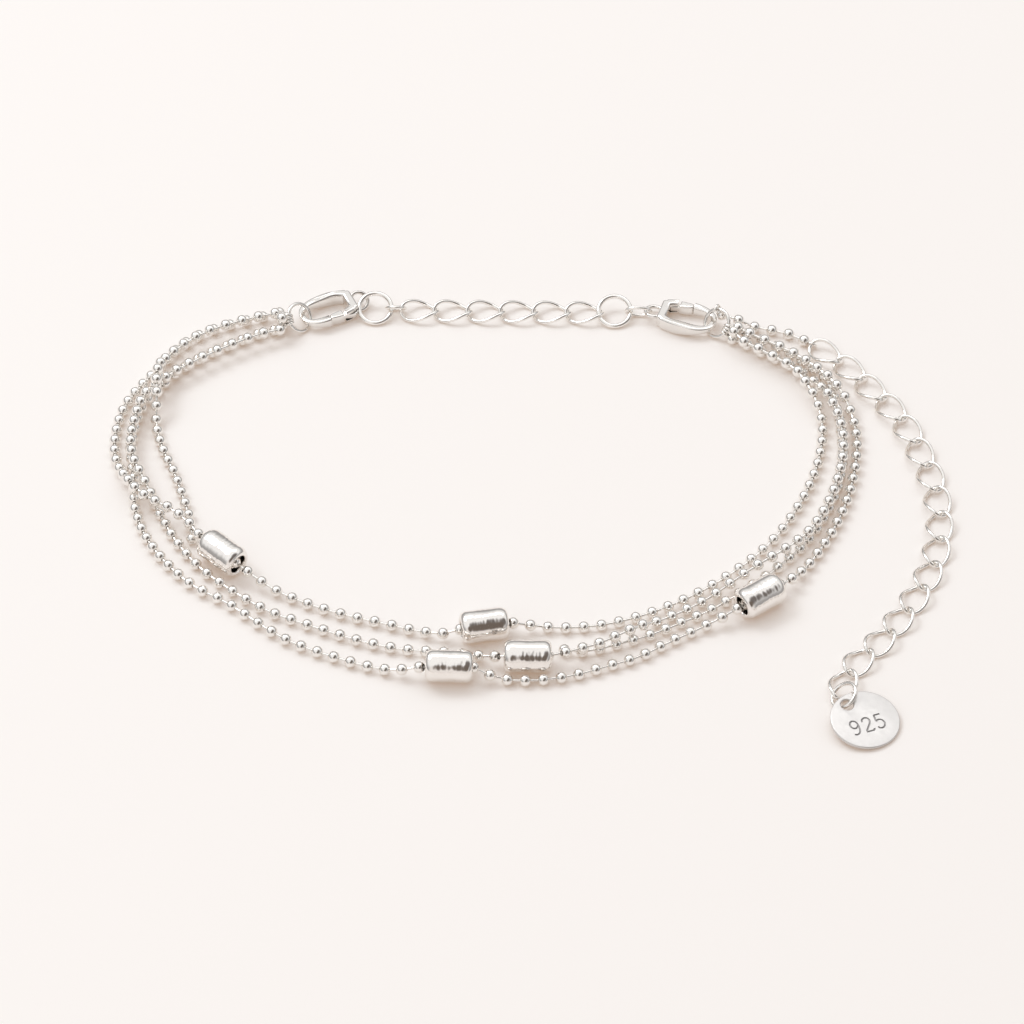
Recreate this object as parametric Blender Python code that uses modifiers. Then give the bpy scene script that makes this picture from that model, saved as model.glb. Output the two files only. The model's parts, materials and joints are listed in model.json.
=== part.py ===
"""Ball chain bracelet with two lobster clasps, a curb chain and a round tag, laid in a loop."""

import math

import bmesh
import bpy
from mathutils import Matrix, Vector

MM = 0.001

# Strands of ball chain, each a plain tube of the balls' diameter. Lengths are in millimetres.
BALL_D = 1.0
STRAND_STEP = 2.1

# The short ball chain at the start of the tail.
TAIL_BALL_D = 1.0
TAIL_BALL_PITCH = 1.62
TAIL_BALL_COUNT = 6
TAIL_ROD_D = 0.3
TAIL_EYE_D = 1.0
TAIL_EYE_WIRE = 0.24
TAIL_EYE_TILT = -50.0
TAIL_RING_ANGLE = 300.0

# Barrel beads with a hole along them.
BEAD_D = 3.0
BEAD_LENGTH = 4.3
BEAD_HOLE_D = 1.75
BEAD_SIDES = 16

# Twisted oval links of the curb chains.
LINK_LENGTH = 3.9
LINK_WIDTH = 2.75
LINK_WIRE = 0.36
LINK_TWIST = -35.0
LINK_GAP = 0.08
BACK_LINK_COUNT = 6
TAIL_LINK_COUNT = 16
CLASP_LINK_LENGTH = 2.7
CLASP_LINK_WIDTH = 1.7
CLASP_LINK_WIRE = 0.32
CLASP_LINK_TILT = -75.0
CLASP_LINK_SLACK = 0.1

# Round rings.
BACK_RING_D = 3.5
BACK_RING_WIRE = 0.46
BACK_RING_TILT = 22.0
JOINT_RING_D = 2.1
JOINT_RING_WIRE = 0.34
JOINT_RING_TILT = -50.0
STRAND_RING_D = 2.96
STRAND_RING_WIRE = 0.36
TAG_RING_D = 2.9
TAG_RING_WIRE = 0.4
TAG_RING_TILT = 36.0
TAG_RING_SLACK = 0.8

# Round tag.
TAG_D = 6.3
TAG_THICKNESS = 0.34
TAG_EDGE_ROUND = 0.07
TAG_HOLE_D = 1.15
TAG_HOLE_RIM = 0.4
TAG_HEADING_TURN = 36.0

# Lobster clasps: a hooked body, its eye, and a lever that turns on a pin.
CLASP_LENGTH = 5.5
CLASP_WIDTH = 3.6
CLASP_THICKNESS = 1.4
CLASP_NOSE_THICKNESS = 0.5
CLASP_NOSE_LIFT = 0.12
CLASP_NOSE_BAR = 0.52
CLASP_ARM = 0.8
CLASP_BASE = 0.85
CLASP_EDGE_ROUND = 0.14
CLASP_EYE_D = 2.1
CLASP_EYE_WIRE = 0.38
CLASP_LEFT_EYE_TILT = 34.0
CLASP_RIGHT_EYE_TILT = 12.0
LEVER_SLOT = 0.7
LEVER_SIDE_GAP = 0.1
LEVER_PIN_D = 0.38
LEVER_PIN_GAP = 0.09
LEVER_PIVOT_BACK = 0.62
LEVER_PIVOT_IN = 0.62
LEVER_LENGTH = 2.3
LEVER_WIDTH = 0.62
LEVER_EYE_D = 0.9
LEVER_TIP_GAP = 0.12

PIECE_GAP = 0.08

# The layout's own centre, so that the finished bracelet stands on the origin.
LAYOUT_CENTRE = (1.6, -0.84)

# Headings in degrees and places in millimetres that the layout was read by.
BACK_CHAIN_CENTRE = (-0.93, 25.6)
BACK_CHAIN_HEADING = -1.0
CLASP_LEFT_HEADING = 204.0
CLASP_LEFT_EYE_HEADING = 146.0
CLASP_LINK_HEADING = -2.0
CLASP_RIGHT_EYE_HEADING = 4.0
CLASP_RIGHT_HEADING = -17.0
TAG_RING_FROM_LINK = -90.0
TAG_RING_HEADING = -79.0

# Where each strand ring sits from its clasp's nose, along and across it, with its turn and tilt.
STRAND_RING_LEFT = (-0.15, -0.2, 30.0, 50.0)
STRAND_RING_RIGHT = (-0.15, 0.2, -30.0, -50.0)

# Barrel beads: the centre, and the heading of the hole.
BEADS = (
    ("bead_a", -26.3, -6.6, -44.0),
    ("bead_b", -2.5, -15.6, 10.0),
    ("bead_c", -5.6, -20.6, -2.0),
    ("bead_d", 1.4, -19.4, 0.0),
    ("bead_e", 22.4, -12.0, 36.0),
)

# Routes of the strands, each point as x, y and height in millimetres.
ROUTES = {
    "strand_1": (
        (-21.4, 25.15, 0.85), (-22.9, 25.0, 0.6), (-26.0, 24.0, 0.5), (-28.9, 22.7, 0.5),
        (-31.2, 20.7, 0.5), (-32.7, 18.3, 0.5), (-34.4, 15.8, 0.5), (-35.8, 13.2, 0.5),
        (-36.5, 10.2, 0.5), (-36.6, 7.2, 0.5), (-36.2, 5.3, 0.6), (-35.6, 3.6, 1.15),
        (-35.0, 2.3, 1.6), (-34.3, 1.2, 1.75), (-33.1, 0.1, 1.7), (-31.4, -1.0, 1.68), (-29.7, -2.6, 1.66),
        (-28.4, -4.5, 1.58), (-27.6, -5.35, 1.52), (-26.3, -6.6, 1.5), (-24.95, -7.9, 1.5),
        (-23.7, -9.0, 1.3), (-22.1, -10.1, 0.85), (-20.3, -11.1, 0.5), (-17.7, -12.4, 0.5),
        (-14.6, -13.6, 0.5), (-11.5, -14.5, 0.5), (-8.4, -15.5, 0.6), (-6.2, -16.1, 0.95),
        (-4.6, -16.0, 1.4), (-2.5, -15.6, 1.5), (-0.4, -15.25, 1.45), (1.2, -15.1, 1.05),
        (3.2, -15.0, 0.6), (5.5, -15.0, 0.5), (8.5, -14.6, 0.5), (11.8, -13.5, 0.5),
        (14.8, -12.0, 0.5), (17.7, -10.1, 0.5), (20.2, -8.0, 0.5), (22.4, -5.8, 0.5),
        (24.3, -3.3, 0.5), (26.0, -0.2, 0.5), (27.2, 2.6, 0.5), (28.1, 5.6, 0.5),
        (28.6, 8.6, 0.5), (28.65, 11.1, 0.55), (28.2, 13.2, 1.1), (27.3, 15.2, 1.5),
        (26.2, 17.2, 1.5), (24.0, 18.95, 1.5), (22.3, 20.2, 1.5), (20.95, 21.2, 1.5),
    ),
    "strand_2": (
        (-21.2, 22.5, 1.45), (-23.2, 21.8, 1.5), (-26.1, 20.3, 1.5), (-28.8, 18.6, 1.5),
        (-31.3, 16.7, 1.55), (-32.8, 15.1, 1.6), (-34.1, 13.4, 1.6), (-34.8, 10.6, 1.6),
        (-35.1, 7.8, 1.6), (-34.8, 5.5, 1.6), (-34.1, 3.6, 1.5), (-33.25, 2.0, 0.9),
        (-32.6, 0.3, 0.52), (-31.9, -1.4, 0.5), (-30.6, -4.2, 0.5), (-28.45, -7.4, 0.5),
        (-25.6, -10.2, 0.5), (-22.1, -12.9, 0.5), (-19.0, -14.4, 0.5), (-15.8, -15.8, 0.5),
        (-12.9, -16.9, 0.5), (-9.7, -17.7, 0.5), (-6.5, -18.0, 0.5), (-4.2, -18.3, 0.55),
        (-2.4, -18.9, 0.95), (-0.75, -19.35, 1.45), (1.4, -19.4, 1.5), (3.6, -19.3, 1.5),
        (5.4, -18.8, 1.6), (7.9, -17.9, 1.6), (9.6, -16.85, 1.6), (10.9, -16.0, 1.5),
        (12.1, -14.95, 1.0), (13.4, -14.15, 0.55), (15.9, -12.7, 0.5), (18.1, -11.2, 0.65), (20.1, -9.7, 1.1),
        (22.4, -8.0, 1.5), (24.9, -6.1, 1.6), (27.0, -4.0, 1.6), (28.5, -1.3, 1.6),
        (29.6, 1.8, 1.6), (30.3, 5.0, 1.6), (30.5, 8.2, 1.6), (30.2, 10.6, 1.6),
        (29.75, 12.3, 1.55), (29.3, 13.8, 1.45), (28.65, 15.2, 0.95), (27.9, 16.5, 0.5),
        (25.7, 18.55, 0.5), (23.6, 19.95, 0.5), (22.2, 21.0, 0.5), (20.95, 21.85, 0.5),
    ),
    "strand_3": (
        (-21.2, 23.35, 0.5), (-23.2, 22.8, 0.5), (-26.1, 21.3, 0.5), (-28.8, 19.6, 0.5),
        (-31.2, 17.5, 0.5), (-32.8, 15.3, 0.5), (-34.1, 13.4, 0.5), (-34.8, 10.6, 0.5),
        (-35.1, 7.8, 0.5), (-34.9, 5.4, 0.5), (-34.7, 3.4, 0.5), (-34.6, 1.2, 0.5),
        (-34.3, -0.9, 0.5), (-33.4, -3.6, 0.5), (-31.6, -6.7, 0.5), (-28.9, -9.8, 0.5),
        (-25.8, -11.9, 0.5), (-22.0, -15.2, 0.5), (-19.1, -17.2, 0.5), (-14.5, -19.2, 0.5),
        (-11.4, -20.2, 0.6), (-9.4, -20.6, 1.1), (-7.75, -20.6, 1.45), (-5.6, -20.6, 1.5),
        (-3.45, -20.75, 1.45), (-1.9, -21.25, 0.95), (-0.2, -21.4, 0.5), (2.1, -21.45, 0.5),
        (5.4, -20.9, 0.5), (8.4, -19.8, 0.5), (11.4, -18.6, 0.5), (14.3, -16.7, 0.5),
        (17.4, -14.9, 0.65), (19.0, -14.2, 1.1), (20.65, -13.25, 1.45), (22.4, -12.0, 1.5),
        (24.1, -10.75, 1.48), (25.5, -9.3, 1.1), (26.8, -7.4, 0.55), (28.2, -5.0, 0.5),
        (29.6, -2.1, 0.5), (30.75, 1.3, 0.5), (31.45, 4.6, 0.5), (31.8, 7.7, 0.5),
        (31.7, 10.4, 0.5), (31.3, 12.4, 0.75), (30.6, 14.0, 1.45), (29.5, 15.7, 1.66),
        (27.9, 17.6, 1.55), (25.6, 19.6, 1.5), (23.2, 21.1, 1.5), (21.1, 22.4, 1.55),
    ),
    "strand_4_left": (
        (-21.2, 24.3, 1.7), (-22.9, 24.1, 1.6), (-26.0, 23.1, 1.55), (-28.7, 21.8, 1.55),
        (-30.8, 20.0, 1.6), (-32.2, 18.0, 1.9), (-32.75, 16.2, 2.75), (-32.9, 14.4, 2.85),
        (-32.85, 12.8, 2.1), (-32.9, 11.3, 0.75), (-32.7, 9.6, 0.5), (-32.0, 7.0, 0.5),
        (-31.0, 4.4, 0.5), (-30.2, 1.6, 0.5), (-29.6, -0.6, 0.5), (-29.3, -2.4, 0.5),
        (-29.15, -3.9, 0.5),
    ),
    "strand_4_right": (
        (4.7, -17.75, 0.5), (6.4, -17.95, 0.5), (8.2, -17.5, 0.5), (9.9, -16.9, 0.5),
        (12.5, -15.9, 0.5), (15.3, -14.4, 0.5), (17.8, -12.95, 0.5), (19.5, -11.65, 0.5),
        (21.1, -10.3, 0.5), (22.75, -8.9, 0.5), (24.6, -7.0, 0.5), (26.5, -4.8, 0.5),
        (28.0, -2.3, 0.5), (29.2, 0.5, 0.5), (30.0, 3.3, 0.5), (30.45, 6.5, 0.5),
        (30.45, 9.4, 0.5), (30.25, 11.8, 0.5), (29.95, 13.8, 0.5), (29.7, 15.6, 0.5),
        (28.95, 17.0, 0.5), (27.6, 18.35, 0.5), (25.8, 20.1, 0.5), (23.5, 21.75, 0.5),
        (21.05, 23.1, 0.5),
    ),
}

# The tail leaves the right ring at its back and runs round to the tag.
TAIL_ROUTE = (
    (21.4, 23.9, 1.0), (22.9, 23.5, 0.5), (24.5, 23.1, 0.5), (26.2, 22.5, 0.5), (27.8, 21.4, 0.5),
    (29.5, 19.8, 0.5), (31.3, 18.0, 0.5), (33.1, 15.6, 0.5), (34.8, 13.2, 0.5), (36.3, 10.5, 0.5),
    (37.3, 7.7, 0.5), (38.2, 4.8, 0.5), (38.8, 1.7, 0.5), (39.0, -1.4, 0.5), (38.7, -4.7, 0.5),
    (37.9, -7.9, 0.5), (36.6, -10.9, 0.5), (35.0, -13.8, 0.5), (33.2, -16.5, 0.5), (31.3, -18.8, 0.5),
    (29.9, -21.1, 0.5), (29.2, -23.6, 0.5), (29.0, -26.0, 0.5),
)


def spline(points, step):
    """Points about a step apart along a smooth curve through the given ones."""
    pts = [Vector(p) for p in points]
    ends = [2 * pts[0] - pts[1]] + pts + [2 * pts[-1] - pts[-2]]
    fine = []
    for i in range(len(pts) - 1):
        a, b, c, d = ends[i:i + 4]
        for k in range(24):
            t = k / 24
            fine.append(0.5 * (2 * b + (c - a) * t + (2 * a - 5 * b + 4 * c - d) * t ** 2
                               + (3 * b - a - 3 * c + d) * t ** 3))
    fine.append(pts[-1])
    runs = [0.0]
    for a, b in zip(fine, fine[1:]):
        runs.append(runs[-1] + (b - a).length)
    count = max(2, round(runs[-1] / step))
    out = []
    j = 0
    for n in range(count + 1):
        want = runs[-1] * n / count
        while j < len(runs) - 2 and runs[j + 1] < want:
            j += 1
        span = runs[j + 1] - runs[j]
        share = (want - runs[j]) / span if span else 0.0
        out.append(fine[j].lerp(fine[j + 1], min(1.0, max(0.0, share))))
    return out


def along(points, start, pitch, count):
    """Places and headings a fixed straight distance apart along a curve."""
    fine = spline(points, 0.05)
    here = start
    places = []
    for _ in range(count):
        spot = fine[here]
        ahead = here
        while ahead < len(fine) - 1 and (fine[ahead] - spot).length < pitch:
            ahead += 1
        way = fine[ahead] - spot
        places.append((here, spot, math.atan2(way.y, way.x)))
        here = ahead
    return places, fine


def metal(name, colour, roughness):
    mat = bpy.data.materials.new(name)
    mat.use_nodes = True
    shader = mat.node_tree.nodes["Principled BSDF"]
    shader.inputs["Base Color"].default_value = (*colour, 1.0)
    shader.inputs["Metallic"].default_value = 1.0
    shader.inputs["Roughness"].default_value = roughness
    return mat


def add(name, mesh_or_curve, mat, group):
    item = bpy.data.objects.new(name, mesh_or_curve)
    if not mesh_or_curve.materials:
        mesh_or_curve.materials.append(mat)
    group.objects.link(item)
    return item


def wire_curve(name, points, diameter, closed, resolution):
    """A round wire along the points, in millimetres."""
    data = bpy.data.curves.new(name, "CURVE")
    data.dimensions = "3D"
    line = data.splines.new("POLY")
    line.points.add(len(points) - 1)
    for spot, p in zip(line.points, points):
        spot.co = (p[0] * MM, p[1] * MM, p[2] * MM, 1.0)
    line.use_cyclic_u = closed
    data.bevel_depth = diameter / 2 * MM
    data.bevel_resolution = resolution
    data.use_fill_caps = not closed
    return data


def plate_curve(name, outlines, thickness, bevel):
    """A flat plate from closed outlines, in millimetres."""
    data = bpy.data.curves.new(name, "CURVE")
    data.dimensions = "2D"
    data.fill_mode = "BOTH"
    for outline in outlines:
        line = data.splines.new("POLY")
        line.points.add(len(outline) - 1)
        for spot, p in zip(line.points, outline):
            spot.co = (p[0] * MM, p[1] * MM, 0.0, 1.0)
        line.use_cyclic_u = True
    data.bevel_depth = bevel * MM
    data.bevel_resolution = 0
    data.offset = -bevel * MM
    data.extrude = (thickness / 2 - bevel) * MM
    return data


def as_mesh(item):
    """The curve object's surface as a welded mesh object of the same name."""
    graph = bpy.context.evaluated_depsgraph_get()
    mesh = bpy.data.meshes.new_from_object(item.evaluated_get(graph))
    place = item.matrix_world.copy()
    name = item.name
    group = item.users_collection[0]
    mats = list(item.data.materials)
    bpy.data.objects.remove(item)
    bm = bmesh.new()
    bm.from_mesh(mesh)
    bmesh.ops.remove_doubles(bm, verts=bm.verts, dist=1e-6)
    bmesh.ops.recalc_face_normals(bm, faces=bm.faces)
    bm.to_mesh(mesh)
    bm.free()
    mesh.materials.clear()
    for mat in mats:
        mesh.materials.append(mat)
    solid = bpy.data.objects.new(name, mesh)
    solid.matrix_world = place
    group.objects.link(solid)
    return solid


def smooth(item):
    item.data.shade_smooth()
    item.data.set_sharp_from_angle(angle=math.radians(40))


def ring_points(radius, sides):
    return [(radius * math.cos(2 * math.pi * (k + 0.5) / sides),
             radius * math.sin(2 * math.pi * (k + 0.5) / sides), 0.0) for k in range(sides)]


def link_points(length, width, wire, twist, sides):
    """Centre line of an oval link, its two ends turned opposite ways about its long axis."""
    a = (length - wire) / 2
    b = (width - wire) / 2
    points = []
    for k in range(sides):
        t = 2 * math.pi * k / sides
        turn = math.radians(twist) * math.cos(t)
        points.append((a * math.cos(t), b * math.sin(t) * math.cos(turn),
                       b * math.sin(t) * math.sin(turn)))
    return points


def lie(points, wire):
    """Height of a wire piece's centre that puts its lowest point on the floor."""
    return wire / 2 - min(p[2] for p in points)


def boolean(item, other, operation):
    mod = item.modifiers.new(operation.lower(), "BOOLEAN")
    mod.operation = operation
    mod.solver = "EXACT"
    mod.object = other


def place_matrix(x, y, z, heading, tilt=0.0):
    """Heading about +Z, tilt about the piece's own long axis, both in degrees."""
    turn = Matrix.Rotation(math.radians(heading), 4, "Z") @ Matrix.Rotation(math.radians(tilt), 4, "X")
    shift = Matrix.Translation(Vector(((x - LAYOUT_CENTRE[0]) * MM, (y - LAYOUT_CENTRE[1]) * MM, z * MM)))
    return shift @ turn


def step_from(spot, heading, distance):
    return (spot[0] + distance * math.cos(math.radians(heading)),
            spot[1] + distance * math.sin(math.radians(heading)))


def clasp_half_width(x):
    """Half the clasp's width at a distance from its nose, as shares of its own sizes."""
    nose = 0.5 * CLASP_LENGTH
    if x < nose:
        return CLASP_WIDTH / 2 * (1 - (1 - x / nose) ** 2.3) ** (1 / 2.3)
    back = (x - nose) / (CLASP_LENGTH - nose)
    return CLASP_WIDTH / 2 * (1 - 0.3 * back ** 2)


def clasp_outlines():
    """Outer edge of the clasp's body, and the edge of the space inside it."""
    stations = [0.0, 0.02, 0.07, 0.15, 0.27, 0.42, 0.6, 0.8, 0.93, 1.0]
    upper = [(s * CLASP_LENGTH, clasp_half_width(s * CLASP_LENGTH)) for s in stations]
    outer = upper + [(x, -y) for x, y in reversed(upper[1:])]
    start = CLASP_NOSE_BAR
    end = CLASP_LENGTH - CLASP_BASE
    inner_half = CLASP_WIDTH / 2 - CLASP_ARM
    inner = []
    for s in (0.0, 0.03, 0.1, 0.22, 0.4, 0.6, 0.8, 0.93, 1.0):
        x = start + s * (end - start)
        bow = 1 - (1 - min(1.0, s / 0.4)) ** 2.6
        tail = 1 - max(0.0, (s - 0.75) / 0.25) ** 2 * 0.3
        inner.append((x, inner_half * bow ** (1 / 2.6) * tail))
    inner = inner + [(x, -y) for x, y in reversed(inner[1:])]
    return outer, inner


def taper_nose(mesh):
    """Thins the body towards its nose, and lifts the nose a little."""
    full = 0.62 * CLASP_LENGTH
    least = CLASP_NOSE_THICKNESS / CLASP_THICKNESS
    for v in mesh.vertices:
        share = min(1.0, max(0.0, v.co.x / MM / full))
        bend = share ** 1.3
        v.co.z = v.co.z * (least + (1 - least) * bend) + CLASP_NOSE_LIFT * MM * (1 - bend)


def box(name, low, high, group):
    size = [(b - a) * MM for a, b in zip(low, high)]
    mid = [(a + b) / 2 * MM for a, b in zip(low, high)]
    mesh = bpy.data.meshes.new(name)
    bm = bmesh.new()
    bmesh.ops.create_cube(bm, size=1.0)
    bmesh.ops.scale(bm, vec=size, verts=bm.verts)
    bmesh.ops.translate(bm, vec=mid, verts=bm.verts)
    bm.to_mesh(mesh)
    bm.free()
    item = bpy.data.objects.new(name, mesh)
    group.objects.link(item)
    item.hide_render = True
    item.display_type = "WIRE"
    return item


def rod(name, radius, z0, z1, spot, group, sides=12):
    mesh = bpy.data.meshes.new(name)
    bm = bmesh.new()
    bmesh.ops.create_cone(bm, cap_ends=True, segments=sides, radius1=radius * MM,
                          radius2=radius * MM, depth=(z1 - z0) * MM)
    bmesh.ops.translate(bm, vec=(spot[0] * MM, spot[1] * MM, (z0 + z1) / 2 * MM), verts=bm.verts)
    bm.to_mesh(mesh)
    bm.free()
    item = bpy.data.objects.new(name, mesh)
    group.objects.link(item)
    item.hide_render = True
    item.display_type = "WIRE"
    return item


def make_clasp(side, place, heading, eye_tilt, mat, group, cutters):
    """A clasp at its nose: the body with its eye and pin, and the lever on the pin."""
    base = place_matrix(place[0], place[1], CLASP_THICKNESS / 2, heading)
    lever_y = -(CLASP_WIDTH / 2 - LEVER_PIVOT_IN)
    pivot = (CLASP_LENGTH - LEVER_PIVOT_BACK, lever_y)
    lever_tip = pivot[0] - LEVER_LENGTH
    outer, inner = clasp_outlines()

    body = add(f"clasp_{side}_body", plate_curve("body", (outer, inner), CLASP_THICKNESS, CLASP_EDGE_ROUND),
               mat, group)
    body = as_mesh(body)
    taper_nose(body.data)

    eye_wire = ring_points((CLASP_EYE_D - CLASP_EYE_WIRE) / 2, 14)
    eye = add(f"{side}_eye", wire_curve("eye", eye_wire, CLASP_EYE_WIRE, True, 1), mat, cutters)
    eye = as_mesh(eye)
    turn = Matrix.Rotation(math.radians(eye_tilt), 4, "X")
    eye.data.transform(Matrix.Translation((clasp_eye_reach() * MM, 0, 0)) @ turn)
    gate = box(f"{side}_gate", (lever_tip - LEVER_TIP_GAP, -CLASP_WIDTH, -CLASP_THICKNESS),
               (pivot[0] - LEVER_WIDTH / 2 - 2 * LEVER_TIP_GAP - 0.3, -(CLASP_WIDTH / 2 - CLASP_ARM - 0.3),
                CLASP_THICKNESS), cutters)
    slot = box(f"{side}_slot", (lever_tip, -CLASP_WIDTH, -LEVER_SLOT / 2),
               (CLASP_LENGTH + 1, -(CLASP_WIDTH / 2 - CLASP_ARM - 0.45), LEVER_SLOT / 2), cutters)
    pin = rod(f"{side}_pin", LEVER_PIN_D / 2, -LEVER_SLOT / 2 - 0.15, LEVER_SLOT / 2 + 0.15, pivot, cutters)
    boolean(body, gate, "DIFFERENCE")
    boolean(body, slot, "DIFFERENCE")
    boolean(body, eye, "UNION")
    boolean(body, pin, "UNION")

    half = LEVER_WIDTH / 2
    tongue_half = LEVER_SLOT / 2 - LEVER_SIDE_GAP
    outline = []
    for k in range(9):
        angle = -math.pi / 2 + math.pi * k / 8
        outline.append((LEVER_EYE_D / 2 * math.cos(angle), LEVER_EYE_D / 2 * math.sin(angle)))
    outline += [(-0.3 * LEVER_LENGTH, half * 0.9), (-0.7 * LEVER_LENGTH, half * 0.4),
                (-0.7 * LEVER_LENGTH, -half * 0.8), (-0.3 * LEVER_LENGTH, -half * 1.1)]
    hole = [(p[0], p[1]) for p in ring_points(LEVER_PIN_D / 2 + LEVER_PIN_GAP, 12)]
    lever = add(f"clasp_{side}_lever", plate_curve("lever", (outline, hole), 2 * tongue_half, 0.03), mat, group)
    lever = as_mesh(lever)
    grip_outline = [(-0.46 * LEVER_LENGTH, half * 1.12), (-0.8 * LEVER_LENGTH, half * 0.78),
                    (-1.02 * LEVER_LENGTH, half * 0.26), (-1.02 * LEVER_LENGTH, -half * 1.12),
                    (-0.8 * LEVER_LENGTH, -half * 1.45), (-0.46 * LEVER_LENGTH, -half * 1.42)]
    grip = add(f"{side}_grip", plate_curve("grip", (grip_outline,), 0.75 * CLASP_THICKNESS, 0.05), mat, cutters)
    grip = as_mesh(grip)
    boolean(lever, grip, "UNION")

    for item in (body, eye, gate, slot, pin):
        item.matrix_world = base
    for item in (lever, grip):
        item.matrix_world = base @ Matrix.Translation((pivot[0] * MM, pivot[1] * MM, 0))
    smooth(body)
    smooth(lever)
    return body, lever


def clasp_eye_reach():
    """Distance from the clasp's nose to the middle of its eye."""
    return CLASP_LENGTH + CLASP_EYE_D / 2 - CLASP_EYE_WIRE * 1.5


def main():
    for item in list(bpy.data.objects):
        bpy.data.objects.remove(item)
    group = bpy.data.collections.new("ball_chain_bracelet")
    cutters = bpy.data.collections.new("cutters")
    bpy.context.scene.collection.children.link(group)
    bpy.context.scene.collection.children.link(cutters)

    polished = metal("polished_silver", (0.86, 0.85, 0.83), 0.08)
    satin = metal("satin_silver", (0.72, 0.71, 0.70), 0.3)

    # The back chain lies straight, and each piece beyond its ends follows from the last.
    pitch = LINK_LENGTH - 2 * LINK_WIRE - LINK_GAP
    link = link_points(LINK_LENGTH, LINK_WIDTH, LINK_WIRE, LINK_TWIST, 14)
    link_z = lie(link, LINK_WIRE)
    link_data = wire_curve("curb_link", link, LINK_WIRE, True, 1)
    half_chain = (BACK_LINK_COUNT - 1) / 2
    for n in range(BACK_LINK_COUNT):
        x, y = step_from(BACK_CHAIN_CENTRE, BACK_CHAIN_HEADING, (n - half_chain) * pitch)
        item = add(f"back_link_{n + 1}", link_data, polished, group)
        item.matrix_world = place_matrix(x, y, link_z, BACK_CHAIN_HEADING)

    def ring(name, diameter, wire, tilt, spot, heading):
        radius = (diameter - wire) / 2
        z = radius * math.sin(math.radians(abs(tilt))) + wire / 2
        item = add(name, wire_curve(name, ring_points(radius, 16), wire, True, 1), polished, group)
        item.matrix_world = place_matrix(spot[0], spot[1], z, heading, tilt)
        return item, z

    def reach(length_a, wire_a, length_b, wire_b):
        """Distance between the middles of two pieces that hook into each other."""
        return (length_a + length_b) / 2 - wire_a - wire_b - PIECE_GAP

    left = BACK_CHAIN_HEADING + 180
    spot = step_from(BACK_CHAIN_CENTRE, left, half_chain * pitch
                     + reach(LINK_LENGTH, LINK_WIRE, JOINT_RING_D, JOINT_RING_WIRE))
    ring("joint_ring", JOINT_RING_D, JOINT_RING_WIRE, JOINT_RING_TILT, spot, BACK_CHAIN_HEADING)
    spot = step_from(spot, left, reach(JOINT_RING_D, JOINT_RING_WIRE, BACK_RING_D, BACK_RING_WIRE))
    ring("back_ring_left", BACK_RING_D, BACK_RING_WIRE, BACK_RING_TILT, spot, BACK_CHAIN_HEADING)
    spot = step_from(spot, CLASP_LEFT_EYE_HEADING, reach(BACK_RING_D, BACK_RING_WIRE,
                                                         CLASP_EYE_D, CLASP_EYE_WIRE))
    nose_left = step_from(spot, CLASP_LEFT_HEADING, clasp_eye_reach())
    make_clasp("left", nose_left, CLASP_LEFT_HEADING - 180, CLASP_LEFT_EYE_TILT, polished, group, cutters)

    spot = step_from(BACK_CHAIN_CENTRE, BACK_CHAIN_HEADING, half_chain * pitch
                     + reach(LINK_LENGTH, LINK_WIRE, BACK_RING_D, BACK_RING_WIRE))
    ring("back_ring_right", BACK_RING_D, BACK_RING_WIRE, BACK_RING_TILT, spot, BACK_CHAIN_HEADING)
    spot = step_from(spot, CLASP_LINK_HEADING, reach(BACK_RING_D, BACK_RING_WIRE,
                                                     CLASP_LINK_LENGTH, CLASP_LINK_WIRE))
    small = link_points(CLASP_LINK_LENGTH, CLASP_LINK_WIDTH, CLASP_LINK_WIRE, 0.0, 14)
    item = add("clasp_link", wire_curve("clasp_link", small, CLASP_LINK_WIRE, True, 1), polished, group)
    rise = (CLASP_LINK_WIDTH - CLASP_LINK_WIRE) / 2 * math.sin(math.radians(abs(CLASP_LINK_TILT)))
    item.matrix_world = place_matrix(spot[0], spot[1], rise + CLASP_LINK_WIRE / 2,
                                     CLASP_LINK_HEADING, CLASP_LINK_TILT)
    spot = step_from(spot, CLASP_RIGHT_EYE_HEADING, reach(CLASP_LINK_LENGTH, CLASP_LINK_WIRE,
                                                          CLASP_EYE_D, CLASP_EYE_WIRE) - CLASP_LINK_SLACK)
    nose_right = step_from(spot, CLASP_RIGHT_HEADING, clasp_eye_reach())
    make_clasp("right", nose_right, CLASP_RIGHT_HEADING + 180, CLASP_RIGHT_EYE_TILT, polished, group, cutters)

    # Each clasp's nose passes through the ring that gathers the strands.
    for side, nose, heading, seat in (("left", nose_left, CLASP_LEFT_HEADING - 180, STRAND_RING_LEFT),
                                      ("right", nose_right, CLASP_RIGHT_HEADING + 180, STRAND_RING_RIGHT)):
        spot = step_from(step_from(nose, heading, seat[0]), heading + 90, seat[1])
        strand_ring, _ = ring(f"ring_{side}", STRAND_RING_D, STRAND_RING_WIRE, seat[3], spot,
                              heading + seat[2])

    for name, route in ROUTES.items():
        points = spline(route, STRAND_STEP)
        shifted = [(p.x - LAYOUT_CENTRE[0], p.y - LAYOUT_CENTRE[1], max(p.z, BALL_D / 2)) for p in points]
        add(name, wire_curve(name, shifted, BALL_D, False, 2), polished, group)

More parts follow.
